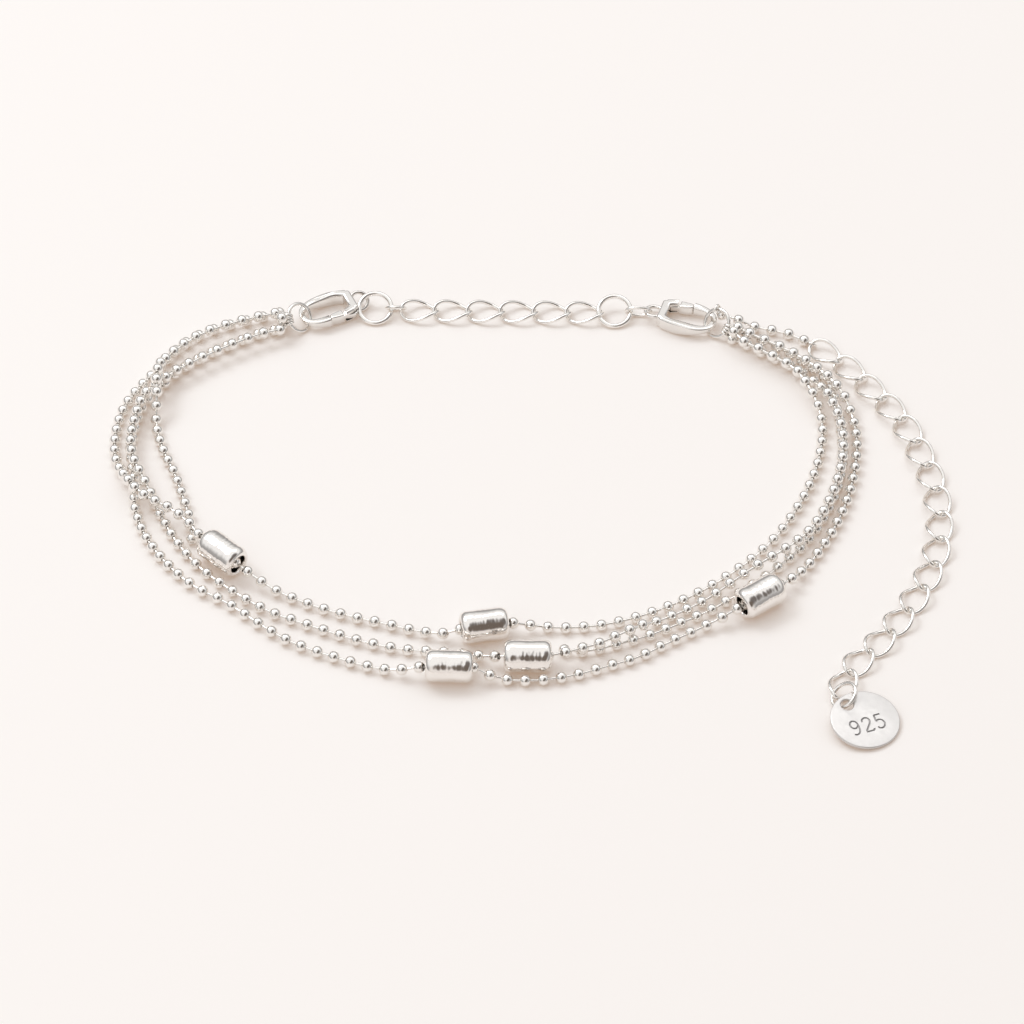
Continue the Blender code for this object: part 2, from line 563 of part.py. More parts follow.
    # Turned beads with a hole, lying on the floor.
    r, h, bore = BEAD_D / 2, BEAD_LENGTH / 2, BEAD_HOLE_D / 2
    profile = ((0.0, 1.0), (0.6, 0.9), (0.86, 0.6), (0.97, 0.25), (1.0, 0.0))
    for name, x, y, heading in BEADS:
        mesh = bpy.data.meshes.new(name)
        bm = bmesh.new()
        edge = [(bore, h)]
        for share, along_share in profile:
            edge.append((bore + 0.3 + (r - bore - 0.3) * share, h * along_share))
        edge += [(a, -b) for a, b in reversed(edge[:-1])]
        verts = [bm.verts.new((a * MM, 0, b * MM)) for a, b in edge]
        for a, b in zip(verts, verts[1:] + verts[:1]):
            bm.edges.new((a, b))
        bm.to_mesh(mesh)
        bm.free()
        item = add(name, mesh, polished, group)
        turned = item.modifiers.new("turn", "SCREW")
        turned.steps = BEAD_SIDES
        turned.render_steps = BEAD_SIDES
        turned.use_merge_vertices = True
        turned.merge_threshold = 1e-6
        turned.use_normal_calculate = True
        lay = place_matrix(x, y, BEAD_D / 2, heading) @ Matrix.Rotation(math.pi / 2, 4, "Y")
        item.matrix_world = lay

    # The tail: balls on short rods with an eye at each end, then the links, the ring and the tag.
    eye_step = TAIL_BALL_D / 2 + TAIL_EYE_D / 2 - TAIL_EYE_WIRE / 2
    centre = Vector((*LAYOUT_CENTRE, 0.0))
    angle = math.radians(TAIL_RING_ANGLE)
    radius = (STRAND_RING_D - STRAND_RING_WIRE) / 2
    hang = strand_ring.matrix_world @ Vector((radius * math.cos(angle) * MM, radius * math.sin(angle) * MM, 0))
    hang = hang / MM + centre
    across = strand_ring.matrix_world.to_3x3() @ Vector((-math.sin(angle), math.cos(angle), 0))
    want = Vector(TAIL_ROUTE[0]) - hang
    first_way = (want - across * want.dot(across)).normalized()
    route = [hang + first_way * eye_step] + [Vector(p) for p in TAIL_ROUTE]
    places, fine = along(route, 0, TAIL_BALL_PITCH, TAIL_BALL_COUNT)
    spots = [spot for _, spot, _ in places]
    last_way = (spots[-1] - spots[-2]).normalized()
    pieces = []
    for spot in spots:
        mesh = bpy.data.meshes.new("ball")
        bm = bmesh.new()
        bmesh.ops.create_uvsphere(bm, u_segments=12, v_segments=7, radius=TAIL_BALL_D / 2 * MM)
        bm.to_mesh(mesh)
        bm.free()
        pieces.append((mesh, place_matrix(spot.x, spot.y, spot.z, 0.0)))
    for a, b in zip(spots, spots[1:]):
        mesh = bpy.data.meshes.new("rod")
        bm = bmesh.new()
        bmesh.ops.create_cone(bm, cap_ends=True, segments=6, radius1=TAIL_ROD_D / 2 * MM,
                              radius2=TAIL_ROD_D / 2 * MM, depth=TAIL_BALL_PITCH * MM)
        bm.to_mesh(mesh)
        bm.free()
        turn = (b - a).to_track_quat("Z", "Y").to_matrix().to_4x4()
        pieces.append((mesh, Matrix.Translation(((a + b) / 2 - centre) * MM) @ turn))
    eye_wire = ring_points((TAIL_EYE_D - TAIL_EYE_WIRE) / 2, 12)
    last_side = Vector((0, 0, 1)).cross(last_way).normalized()
    last_side = Matrix.Rotation(math.radians(TAIL_EYE_TILT), 3, last_way) @ last_side
    for spot, way, normal in ((spots[0], -first_way, across), (spots[-1], last_way, last_side.cross(last_way))):
        eye = add("tail_eye", wire_curve("eye", eye_wire, TAIL_EYE_WIRE, True, 1), polished, cutters)
        eye = as_mesh(eye)
        turn = Matrix((way, normal.cross(way), normal)).transposed().to_4x4()
        pieces.append((eye.data, Matrix.Translation((spot + way * eye_step - centre) * MM) @ turn))
        bpy.data.objects.remove(eye)
    chain = add("tail_ball_chain", pieces[0][0], polished, group)
    chain.matrix_world = pieces[0][1]
    for n, (mesh, place) in enumerate(pieces[1:]):
        other = bpy.data.objects.new(f"tail_bit_{n}", mesh)
        cutters.objects.link(other)
        other.hide_render = True
        other.display_type = "WIRE"
        other.matrix_world = place
        boolean(chain, other, "UNION")

    start = spots[-1] + last_way * (eye_step + reach(TAIL_EYE_D, TAIL_EYE_WIRE, LINK_LENGTH, LINK_WIRE))
    here = min(range(len(fine)), key=lambda k: (fine[k] - start).length)
    links, _ = along(route, here, pitch, TAIL_LINK_COUNT + 1)
    for n in range(TAIL_LINK_COUNT):
        spot = links[n][1]
        before = links[n - 1][2] if n else links[0][2]
        turn = (before + links[n][2]) / 2
        item = add(f"tail_link_{n + 1:02d}", link_data, polished, group)
        item.matrix_world = place_matrix(spot.x, spot.y, link_z, math.degrees(turn))
    spot = links[TAIL_LINK_COUNT - 1][1]
    heading = TAG_RING_HEADING
    ring_spot = step_from(spot, TAG_RING_FROM_LINK,
                          reach(LINK_LENGTH, LINK_WIRE, TAG_RING_D, TAG_RING_WIRE) - TAG_RING_SLACK)
    _, ring_z = ring("tag_ring", TAG_RING_D, TAG_RING_WIRE, TAG_RING_TILT, ring_spot, heading)

    # The tag leans on its ring: the hole's side is at the ring's height, the far edge on the floor.
    from_edge = TAG_HOLE_RIM + TAG_HOLE_D / 2
    hole_out = TAG_D / 2 - from_edge
    lean = math.asin((ring_z - TAG_THICKNESS / 2) / (TAG_D / 2 + hole_out))
    tag_heading = heading + TAG_HEADING_TURN
    hole_spot = step_from(ring_spot, heading, (TAG_RING_D - TAG_RING_WIRE) / 2)
    middle = step_from(hole_spot, tag_heading, hole_out * math.cos(lean))
    disc = [(TAG_D / 2 * math.cos(2 * math.pi * k / 40), TAG_D / 2 * math.sin(2 * math.pi * k / 40))
            for k in range(40)]
    hole = [(-hole_out + TAG_HOLE_D / 2 * math.cos(2 * math.pi * k / 16),
             TAG_HOLE_D / 2 * math.sin(2 * math.pi * k / 16)) for k in range(16)]
    tag = add("tag", plate_curve("tag", (disc, hole), TAG_THICKNESS, TAG_EDGE_ROUND), satin, group)
    tag = as_mesh(tag)
    height = TAG_D / 2 * math.sin(lean) + TAG_THICKNESS / 2 * math.cos(lean)
    tag.matrix_world = place_matrix(middle[0], middle[1], height, tag_heading) @ Matrix.Rotation(lean, 4, "Y")
    for item in cutters.objects:
        item.hide_render = True
        item.display_type = "WIRE"


main()
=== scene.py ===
import json
import math

import bmesh
import bpy
from mathutils import Matrix, Vector, noise


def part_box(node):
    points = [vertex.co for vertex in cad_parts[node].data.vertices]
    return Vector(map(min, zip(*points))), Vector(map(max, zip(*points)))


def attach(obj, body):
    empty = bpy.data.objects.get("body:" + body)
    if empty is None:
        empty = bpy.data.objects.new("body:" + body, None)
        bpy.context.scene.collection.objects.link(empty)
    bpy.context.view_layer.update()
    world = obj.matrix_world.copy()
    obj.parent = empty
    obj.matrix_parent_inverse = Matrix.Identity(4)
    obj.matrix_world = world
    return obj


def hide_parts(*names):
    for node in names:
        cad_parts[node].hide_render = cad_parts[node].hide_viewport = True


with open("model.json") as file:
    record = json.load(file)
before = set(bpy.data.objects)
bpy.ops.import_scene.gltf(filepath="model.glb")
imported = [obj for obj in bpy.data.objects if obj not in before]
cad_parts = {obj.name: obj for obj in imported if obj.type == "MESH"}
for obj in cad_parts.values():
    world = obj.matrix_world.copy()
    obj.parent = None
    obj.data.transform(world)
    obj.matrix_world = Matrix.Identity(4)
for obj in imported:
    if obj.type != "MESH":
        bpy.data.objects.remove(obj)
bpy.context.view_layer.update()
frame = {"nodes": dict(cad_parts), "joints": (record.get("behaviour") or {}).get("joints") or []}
nodes = frame["nodes"]

MM = 0.001

# The layout's own centre in the frame, and the bracelet's sizes in millimetres and degrees.
LAYOUT_CENTRE = Vector((1.6, -0.84, 0.0))
BALL_D = 1.0
BALL_SHOWN_D = 1.08
BALL_PITCH = 1.62
SLACK_PITCH_LEFT = 1.3
SLACK_LEFT_FROM = -28.0
SLACK_LEFT_OVER = 5.0
SLACK_PITCH_RIGHT = 1.45
SLACK_RIGHT_FROM = 24.0
SLACK_RIGHT_OVER = 4.0
BALL_HOLE_D = 0.36
BALL_SIDES = 20
ROD_D = 0.25
EYE_D = 1.0
EYE_WIRE = 0.24
EYE_STEP = BALL_D / 2 + EYE_D / 2 - EYE_WIRE / 2
EYE_TILT = -50.0
EYE_SPREAD = 11.5
FINE_STEP = 0.05
TAIL_BALL_PITCH = 1.62
TAIL_BALL_COUNT = 6
TAIL_RING_ANGLE = 300.0

BEAD_D = 3.0
BEAD_LENGTH = 4.3
BEAD_HOLE_D = 1.75
BEAD_SHOULDER = 0.75
BEAD_LIP = 0.1
BEAD_DENT = 0.03
BEAD_CRINKLE = 0.015
BEAD_SIDES = 72

LINK_LENGTH = 3.9
LINK_WIDTH = 2.75
LINK_WIRE = 0.36
LINK_TWIST = -35.0
CLASP_LINK_LENGTH = 2.7
CLASP_LINK_WIDTH = 1.7
CLASP_LINK_WIRE = 0.32
BACK_RING_D = 3.5
BACK_RING_WIRE = 0.46
JOINT_RING_D = 2.1
JOINT_RING_WIRE = 0.34
STRAND_RING_D = 2.96
STRAND_RING_WIRE = 0.36
TAG_RING_D = 2.9
TAG_RING_WIRE = 0.4
TAG_RING_TILT = 36.0
WIRE_SIDES = 56

TAG_D = 6.3
TAG_THICKNESS = 0.34
TAG_HOLE_D = 1.15
TAG_HOLE_RIM = 0.4
TAG_RIM_ROUND = 0.1
TAG_HEADING = -43.0

CLASP_LENGTH = 5.5
CLASP_WIDTH = 3.6
CLASP_THICKNESS = 1.4
CLASP_NOSE_THICKNESS = 0.5
CLASP_NOSE_LIFT = 0.12
CLASP_NOSE_BAR = 0.52
CLASP_ARM = 0.8
CLASP_BASE = 0.85
CLASP_ROUND = 0.24
CLASP_EYE_D = 2.1
CLASP_EYE_WIRE = 0.38
LEVER_SLOT = 0.7
LEVER_SIDE_GAP = 0.1
LEVER_PIN_D = 0.38
LEVER_PIN_GAP = 0.09
LEVER_PIVOT_BACK = 0.62
LEVER_PIVOT_IN = 0.62
LEVER_LENGTH = 2.3
LEVER_WIDTH = 0.62
LEVER_EYE_D = 0.9
LEVER_TIP_GAP = 0.12
CLASP_SHARP = 38.0

# Each clasp: the heading from its nose to its eye, the eye's tilt, and how its strand ring sits on the nose.
CLASPS = {
    "left": {"heading": 24.0, "eye_tilt": 34.0, "ring": (-0.15, -0.2, 30.0, 50.0)},
    "right": {"heading": 163.0, "eye_tilt": 12.0, "ring": (-0.15, 0.2, -30.0, -50.0)},
}

# Barrel beads: the centre, and the heading of the hole.
BEADS = (
    ("bead_a", -26.3, -6.6, -44.0),
    ("bead_b", -2.5, -15.6, 10.0),
    ("bead_c", -5.6, -20.6, -2.0),
    ("bead_d", 1.4, -19.4, 0.0),
    ("bead_e", 22.4, -12.0, 36.0),
)

# Routes of the strands, each point as x, y and height in millimetres.
ROUTES = {
    "strand_1": (
        (-21.4, 25.15, 0.85), (-22.9, 25.0, 0.6), (-26.0, 24.0, 0.5), (-28.9, 22.7, 0.5),
        (-31.2, 20.7, 0.5), (-32.7, 18.3, 0.5), (-34.4, 15.8, 0.5), (-35.8, 13.2, 0.5),
        (-36.5, 10.2, 0.5), (-36.6, 7.2, 0.5), (-36.2, 5.3, 0.6), (-35.6, 3.6, 1.15),
        (-35.0, 2.3, 1.6), (-34.3, 1.2, 1.75), (-33.1, 0.1, 1.7), (-31.4, -1.0, 1.68), (-29.7, -2.6, 1.66),
        (-28.4, -4.5, 1.58), (-27.6, -5.35, 1.52), (-26.3, -6.6, 1.5), (-24.95, -7.9, 1.5),
        (-23.7, -9.0, 1.3), (-22.1, -10.1, 0.85), (-20.3, -11.1, 0.5), (-17.7, -12.4, 0.5),
        (-14.6, -13.6, 0.5), (-11.5, -14.5, 0.5), (-8.4, -15.5, 0.6), (-6.2, -16.1, 0.95),
        (-4.6, -16.0, 1.4), (-2.5, -15.6, 1.5), (-0.4, -15.25, 1.45), (1.2, -15.1, 1.05),
        (3.2, -15.0, 0.6), (5.5, -15.0, 0.5), (8.5, -14.6, 0.5), (11.8, -13.5, 0.5),
        (14.8, -12.0, 0.5), (17.7, -10.1, 0.5), (20.2, -8.0, 0.5), (22.4, -5.8, 0.5),
        (24.3, -3.3, 0.5), (26.0, -0.2, 0.5), (27.2, 2.6, 0.5), (28.1, 5.6, 0.5),
        (28.6, 8.6, 0.5), (28.65, 11.1, 0.55), (28.2, 13.2, 1.1), (27.3, 15.2, 1.5),
        (26.2, 17.2, 1.5), (24.0, 18.95, 1.5), (22.3, 20.2, 1.5), (20.95, 21.2, 1.5),
    ),
    "strand_2": (
        (-21.2, 22.5, 1.45), (-23.2, 21.8, 1.5), (-26.1, 20.3, 1.5), (-28.8, 18.6, 1.5),
        (-31.3, 16.7, 1.55), (-32.8, 15.1, 1.6), (-34.1, 13.4, 1.6), (-34.8, 10.6, 1.6),
        (-35.1, 7.8, 1.6), (-34.8, 5.5, 1.6), (-34.1, 3.6, 1.5), (-33.25, 2.0, 0.9),
        (-32.6, 0.3, 0.52), (-31.9, -1.4, 0.5), (-30.6, -4.2, 0.5), (-28.45, -7.4, 0.5),
        (-25.6, -10.2, 0.5), (-22.1, -12.9, 0.5), (-19.0, -14.4, 0.5), (-15.8, -15.8, 0.5),
        (-12.9, -16.9, 0.5), (-9.7, -17.7, 0.5), (-6.5, -18.0, 0.5), (-4.2, -18.3, 0.55),
        (-2.4, -18.9, 0.95), (-0.75, -19.35, 1.45), (1.4, -19.4, 1.5), (3.6, -19.3, 1.5),
        (5.4, -18.8, 1.6), (7.9, -17.9, 1.6), (9.6, -16.85, 1.6), (10.9, -16.0, 1.5),
        (12.1, -14.95, 1.0), (13.4, -14.15, 0.55), (15.9, -12.7, 0.5), (18.1, -11.2, 0.65), (20.1, -9.7, 1.1),
        (22.4, -8.0, 1.5), (24.9, -6.1, 1.6), (27.0, -4.0, 1.6), (28.5, -1.3, 1.6),
        (29.6, 1.8, 1.6), (30.3, 5.0, 1.6), (30.5, 8.2, 1.6), (30.2, 10.6, 1.6),
        (29.75, 12.3, 1.55), (29.3, 13.8, 1.45), (28.65, 15.2, 0.95), (27.9, 16.5, 0.5),
        (25.7, 18.55, 0.5), (23.6, 19.95, 0.5), (22.2, 21.0, 0.5), (20.95, 21.85, 0.5),
    ),
    "strand_3": (
        (-21.2, 23.35, 0.5), (-23.2, 22.8, 0.5), (-26.1, 21.3, 0.5), (-28.8, 19.6, 0.5),
        (-31.2, 17.5, 0.5), (-32.8, 15.3, 0.5), (-34.1, 13.4, 0.5), (-34.8, 10.6, 0.5),
        (-35.1, 7.8, 0.5), (-34.9, 5.4, 0.5), (-34.7, 3.4, 0.5), (-34.6, 1.2, 0.5),
        (-34.3, -0.9, 0.5), (-33.4, -3.6, 0.5), (-31.6, -6.7, 0.5), (-28.9, -9.8, 0.5),
        (-25.8, -11.9, 0.5), (-22.0, -15.2, 0.5), (-19.1, -17.2, 0.5), (-14.5, -19.2, 0.5),
        (-11.4, -20.2, 0.6), (-9.4, -20.6, 1.1), (-7.75, -20.6, 1.45), (-5.6, -20.6, 1.5),
        (-3.45, -20.75, 1.45), (-1.9, -21.25, 0.95), (-0.2, -21.4, 0.5), (2.1, -21.45, 0.5),
        (5.4, -20.9, 0.5), (8.4, -19.8, 0.5), (11.4, -18.6, 0.5), (14.3, -16.7, 0.5),
        (17.4, -14.9, 0.65), (19.0, -14.2, 1.1), (20.65, -13.25, 1.45), (22.4, -12.0, 1.5),
        (24.1, -10.75, 1.48), (25.5, -9.3, 1.1), (26.8, -7.4, 0.55), (28.2, -5.0, 0.5),
        (29.6, -2.1, 0.5), (30.75, 1.3, 0.5), (31.45, 4.6, 0.5), (31.8, 7.7, 0.5),
        (31.7, 10.4, 0.5), (31.3, 12.4, 0.75), (30.6, 14.0, 1.45), (29.5, 15.7, 1.66),
        (27.9, 17.6, 1.55), (25.6, 19.6, 1.5), (23.2, 21.1, 1.5), (21.1, 22.4, 1.55),
    ),
    "strand_4_left": (
        (-21.2, 24.3, 1.7), (-22.9, 24.1, 1.6), (-26.0, 23.1, 1.55), (-28.7, 21.8, 1.55),
        (-30.8, 20.0, 1.6), (-32.2, 18.0, 1.9), (-32.75, 16.2, 2.75), (-32.9, 14.4, 2.85),
        (-32.85, 12.8, 2.1), (-32.9, 11.3, 0.75), (-32.7, 9.6, 0.5), (-32.0, 7.0, 0.5),
        (-31.0, 4.4, 0.5), (-30.2, 1.6, 0.5), (-29.6, -0.6, 0.5), (-29.3, -2.4, 0.5),
        (-29.15, -3.9, 0.5),
    ),
    "strand_4_right": (
        (4.7, -17.75, 0.5), (6.4, -17.95, 0.5), (8.2, -17.5, 0.5), (9.9, -16.9, 0.5),
        (12.5, -15.9, 0.5), (15.3, -14.4, 0.5), (17.8, -12.95, 0.5), (19.5, -11.65, 0.5),
        (21.1, -10.3, 0.5), (22.75, -8.9, 0.5), (24.6, -7.0, 0.5), (26.5, -4.8, 0.5),
        (28.0, -2.3, 0.5), (29.2, 0.5, 0.5), (30.0, 3.3, 0.5), (30.45, 6.5, 0.5),
        (30.45, 9.4, 0.5), (30.25, 11.8, 0.5), (29.95, 13.8, 0.5), (29.7, 15.6, 0.5),
        (28.95, 17.0, 0.5), (27.6, 18.35, 0.5), (25.8, 20.1, 0.5), (23.5, 21.75, 0.5),
        (21.05, 23.1, 0.5),
    ),
}

TAIL_ROUTE = (
    (21.4, 23.9, 1.0), (22.9, 23.5, 0.5), (24.5, 23.1, 0.5), (26.2, 22.5, 0.5), (27.8, 21.4, 0.5),
    (29.5, 19.8, 0.5), (31.3, 18.0, 0.5), (33.1, 15.6, 0.5), (34.8, 13.2, 0.5), (36.3, 10.5, 0.5),
    (37.3, 7.7, 0.5), (38.2, 4.8, 0.5), (38.8, 1.7, 0.5), (39.0, -1.4, 0.5), (38.7, -4.7, 0.5),
    (37.9, -7.9, 0.5), (36.6, -10.9, 0.5), (35.0, -13.8, 0.5), (33.2, -16.5, 0.5), (31.3, -18.8, 0.5),
    (29.9, -21.1, 0.5), (29.2, -23.6, 0.5), (29.0, -26.0, 0.5),
)


class Shade:
    """A number or colour on its way through a material, so that its sums read as sums."""

    def __init__(self, finish, socket):
        self.finish = finish
        self.socket = socket

    def work(self, operation, *values):
        sockets = {place: value for place, value in enumerate(values)}
        return self.finish.node("ShaderNodeMath", {"operation": operation}, sockets)

    def __add__(self, other):
        return self.work("ADD", self, other)

    def __mul__(self, other):
        return self.work("MULTIPLY", self, other)

    __radd__ = __add__
    __rmul__ = __mul__


class Finish:
    """A node tree that finishes are written into."""

    def __init__(self, tree):
        self.tree = tree

    def node(self, kind, settings=None, sockets=None, out=0):
        made = self.tree.nodes.new(kind)
        for name, value in (settings or {}).items():
            if name == "stops":
                for place, (at, colour) in enumerate(value):
                    stops = made.color_ramp.elements
                    stop = stops[place] if place < len(stops) else stops.new(at)
                    stop.position = at
                    stop.color = colour
            else:
                setattr(made, name, value)
        for name, value in (sockets or {}).items():
            if isinstance(value, Shade):
                self.tree.links.new(value.socket, made.inputs[name])
            else:
                made.inputs[name].default_value = value
        return Shade(self, made.outputs[out])

    def grain(self, scale, detail=2.0, stretch=(1.0, 1.0, 1.0)):
        """Soft noise at a scale per millimetre, stretched along the piece's own axes."""
        place = self.node("ShaderNodeTexCoord", out=3)
        place = self.node("ShaderNodeVectorMath", {"operation": "MULTIPLY"},
                          {0: place, 1: tuple(scale * s / MM for s in stretch)})
        return self.node("ShaderNodeTexNoise", None, {"Vector": place, "Scale": 1.0, "Detail": detail})

    def mix(self, share, first, second):
        return self.node("ShaderNodeMix", {"data_type": "RGBA"}, {0: share, 6: first, 7: second}, out=2)


def silver(name, pale, worn, smooth, rough, wave, wave_scale, brushed=False):
    """Silver whose tint, gloss and surface vary a little over each piece."""
    mat = bpy.data.materials.new(name)
    mat.use_nodes = True
    finish = Finish(mat.node_tree)
    shader = mat.node_tree.nodes["Principled BSDF"]
    patches = finish.grain(0.35, 3.0)
    fine = finish.grain(2.6, 4.0)
    tint = finish.mix(patches * 0.7 + fine * 0.3, (*pale, 1.0), (*worn, 1.0))
    gloss = fine * (rough - smooth) + smooth
    height = finish.grain(wave_scale, 1.5)
    if brushed:
        hair = finish.grain(1.0, 3.0, (1.2, 22.0, 1.2))
        height = height * 0.35 + hair * 0.65
        gloss = gloss + hair * 0.1
    bump = finish.node("ShaderNodeBump", None, {"Strength": 1.0, "Distance": wave * MM, "Height": height})
    mat.node_tree.links.new(tint.socket, shader.inputs["Base Color"])
    mat.node_tree.links.new(gloss.socket, shader.inputs["Roughness"])
    mat.node_tree.links.new(bump.socket, shader.inputs["Normal"])
    shader.inputs["Metallic"].default_value = 1.0
    return mat


POLISHED = silver("polished_silver", (0.96, 0.94, 0.915), (0.86, 0.835, 0.80), 0.05, 0.12, 0.004, 1.2)
CLASP_SILVER = silver("clasp_silver", (0.90, 0.875, 0.85), (0.79, 0.765, 0.735), 0.07, 0.16, 0.006, 0.8)
HAMMERED = silver("bead_silver", (0.97, 0.945, 0.92), (0.85, 0.815, 0.78), 0.06, 0.16, 0.03, 0.7)
SATIN = silver("tag_silver", (0.77, 0.75, 0.735), (0.62, 0.605, 0.595), 0.26, 0.4, 0.008, 1.5, brushed=True)
# Dark silver for the grooves of the fineness number: painted shade in the recesses.
GROOVE_PAINTED_SHADE = silver("groove_painted_shade_silver", (0.42, 0.405, 0.4), (0.28, 0.27, 0.265), 0.4, 0.6, 0.002, 3.0)


def spline(points, step):
    """Points about a step apart along a smooth curve through the given ones."""
    pts = [Vector(p) for p in points]
    ends = [2 * pts[0] - pts[1]] + pts + [2 * pts[-1] - pts[-2]]
    fine = []
    for i in range(len(pts) - 1):
        a, b, c, d = ends[i:i + 4]
        for k in range(24):
            t = k / 24
            fine.append(0.5 * (2 * b + (c - a) * t + (2 * a - 5 * b + 4 * c - d) * t ** 2
                               + (3 * b - a - 3 * c + d) * t ** 3))
    fine.append(pts[-1])
    runs = [0.0]
    for a, b in zip(fine, fine[1:]):
        runs.append(runs[-1] + (b - a).length)
    count = max(2, round(runs[-1] / step))
    out = []
    j = 0
    for n in range(count + 1):
        want = runs[-1] * n / count
        while j < len(runs) - 2 and runs[j + 1] < want:
            j += 1
        span = runs[j + 1] - runs[j]
        share = (want - runs[j]) / span if span else 0.0
        out.append(fine[j].lerp(fine[j + 1], min(1.0, max(0.0, share))))
    return out


def shown(name, mesh, finish, slot, body, *replaced):
    """A finished piece on its body, standing for its CAD nodes."""
    item = bpy.data.objects.new(name, mesh)
    bpy.context.scene.collection.objects.link(item)
    if not mesh.materials:
        mesh.materials.append(finish)
    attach(item, body)
    if replaced:
        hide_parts(*replaced)
    return item


def turned(profile, sides):
    """Points and faces of a profile of radius and height turned about Z, in millimetres."""
    verts, faces = [], []
    for radius, height in profile:
        for k in range(sides):
            angle = 2 * math.pi * k / sides
            verts.append(Vector((radius * math.cos(angle), radius * math.sin(angle), height)))
    for row in range(len(profile) - 1):
        for k in range(sides):
            a, b = row * sides + k, row * sides + (k + 1) % sides
            faces.append((a, b, b + sides, a + sides))
    return verts, faces


def wire_loop(points, diameter, ring_sides=12):
    """Points and faces of a closed round wire along the points."""
    verts, faces = [], []
    count = len(points)
    side = None
    for k, spot in enumerate(points):
        way = (points[(k + 1) % count] - points[k - 1]).normalized()
        out = Vector((spot.x, spot.y, 0)).normalized()
        side = (out - way * out.dot(way)).normalized()
        other = way.cross(side)
        for n in range(ring_sides):
            angle = 2 * math.pi * n / ring_sides
            verts.append(spot + (side * math.cos(angle) + other * math.sin(angle)) * diameter / 2)
    for k in range(count):
        for n in range(ring_sides):
            a, b = k * ring_sides + n, k * ring_sides + (n + 1) % ring_sides
            c, d = ((k + 1) % count) * ring_sides + n, ((k + 1) % count) * ring_sides + (n + 1) % ring_sides
            faces.append((a, b, d, c))
    return verts, faces


def closed_up(mesh):
    """The mesh with its double points joined and its faces turned outward."""
    bm = bmesh.new()
    bm.from_mesh(mesh)
    bmesh.ops.remove_doubles(bm, verts=bm.verts, dist=1e-7)
    bmesh.ops.recalc_face_normals(bm, faces=bm.faces)
    bm.to_mesh(mesh)
    bm.free()
    return mesh


def smooth(mesh, angle):
    """Smooth shading, with the edges sharper than an angle in degrees kept."""
    mesh.shade_smooth()
    mesh.set_sharp_from_angle(angle=math.radians(angle))


def moved(mesh, place):
    """The mesh carried to a place that is given in millimetres."""
    for step in (Matrix.Scale(1 / MM, 4), place, Matrix.Scale(MM, 4)):
        mesh.transform(step)


def stamped(name, stamps):
    """One mesh of many shapes, each stamp as (points, faces) and the place it goes, in millimetres."""
    verts, faces = [], []
    for (points, rows), place in stamps:
        base = len(verts)
        verts += [(place @ p) * MM for p in points]
        faces += [[base + k for k in row] for row in rows]
    mesh = bpy.data.meshes.new(name)
    mesh.from_pydata(verts, [], faces)
    closed_up(mesh)
    smooth(mesh, 48)
    return mesh


def seat_of(node):
    """A CAD ring's or link's own place: its middle, its long axis and the way it faces, in millimetres."""
    points = [v.co / MM for v in nodes[node].data.vertices]
    middle = sum(points, Vector()) / len(points)
    spread = Matrix(((0, 0, 0), (0, 0, 0), (0, 0, 0)))
    for p in points:
        d = p - middle
        for i in range(3):
            for j in range(3):
                spread[i][j] += d[i] * d[j] / len(points)
    widest = Vector((1.0, 0.3, 0.2))
    for _ in range(200):
        widest = (spread @ widest).normalized()
    flat = spread.inverted()
    facing = Vector((0.1, 0.2, 1.0))
    for _ in range(200):
        facing = (flat @ facing).normalized()
    across = facing.cross(widest).normalized()
    turn = Matrix((widest, across, facing)).transposed().to_4x4()
    return Matrix.Translation(middle) @ turn


def oval(length, width, wire, twist=0.0):
    """Centre line of an oval link whose ends are turned opposite ways, or of a round ring."""
    a, b = (length - wire) / 2, (width - wire) / 2
    points = []
    for k in range(WIRE_SIDES):
        t = 2 * math.pi * k / WIRE_SIDES
        turn = math.radians(twist) * math.cos(t)
        points.append(Vector((a * math.cos(t), b * math.sin(t) * math.cos(turn),
                              b * math.sin(t) * math.sin(turn))))
    return points


def place_matrix(spot, heading, tilt=0.0):
    turn = Matrix.Rotation(math.radians(heading), 4, "Z") @ Matrix.Rotation(math.radians(tilt), 4, "X")
    return Matrix.Translation(spot) @ turn


# Links and rings: fine round wire where the CAD's wire runs.
LINK = wire_loop(oval(LINK_LENGTH, LINK_WIDTH, LINK_WIRE, LINK_TWIST), LINK_WIRE)
LOOPS = {
    "clasp_link": wire_loop(oval(CLASP_LINK_LENGTH, CLASP_LINK_WIDTH, CLASP_LINK_WIRE), CLASP_LINK_WIRE),
    "back_ring_left": wire_loop(oval(BACK_RING_D, BACK_RING_D, BACK_RING_WIRE), BACK_RING_WIRE),
    "joint_ring": wire_loop(oval(JOINT_RING_D, JOINT_RING_D, JOINT_RING_WIRE), JOINT_RING_WIRE),
    "ring_left": wire_loop(oval(STRAND_RING_D, STRAND_RING_D, STRAND_RING_WIRE), STRAND_RING_WIRE),
    "tag_ring": wire_loop(oval(TAG_RING_D, TAG_RING_D, TAG_RING_WIRE), TAG_RING_WIRE),
}
LOOPS["back_ring_right"] = LOOPS["back_ring_left"]
LOOPS["ring_right"] = LOOPS["ring_left"]
for name in nodes:
    if name in LOOPS or name.startswith(("back_link", "tail_link")):
        mesh = stamped(name, [(LOOPS.get(name, LINK), seat_of(name))])
        shown(f"{name}_wire", mesh, POLISHED, "polished_silver", "bracelet", name)

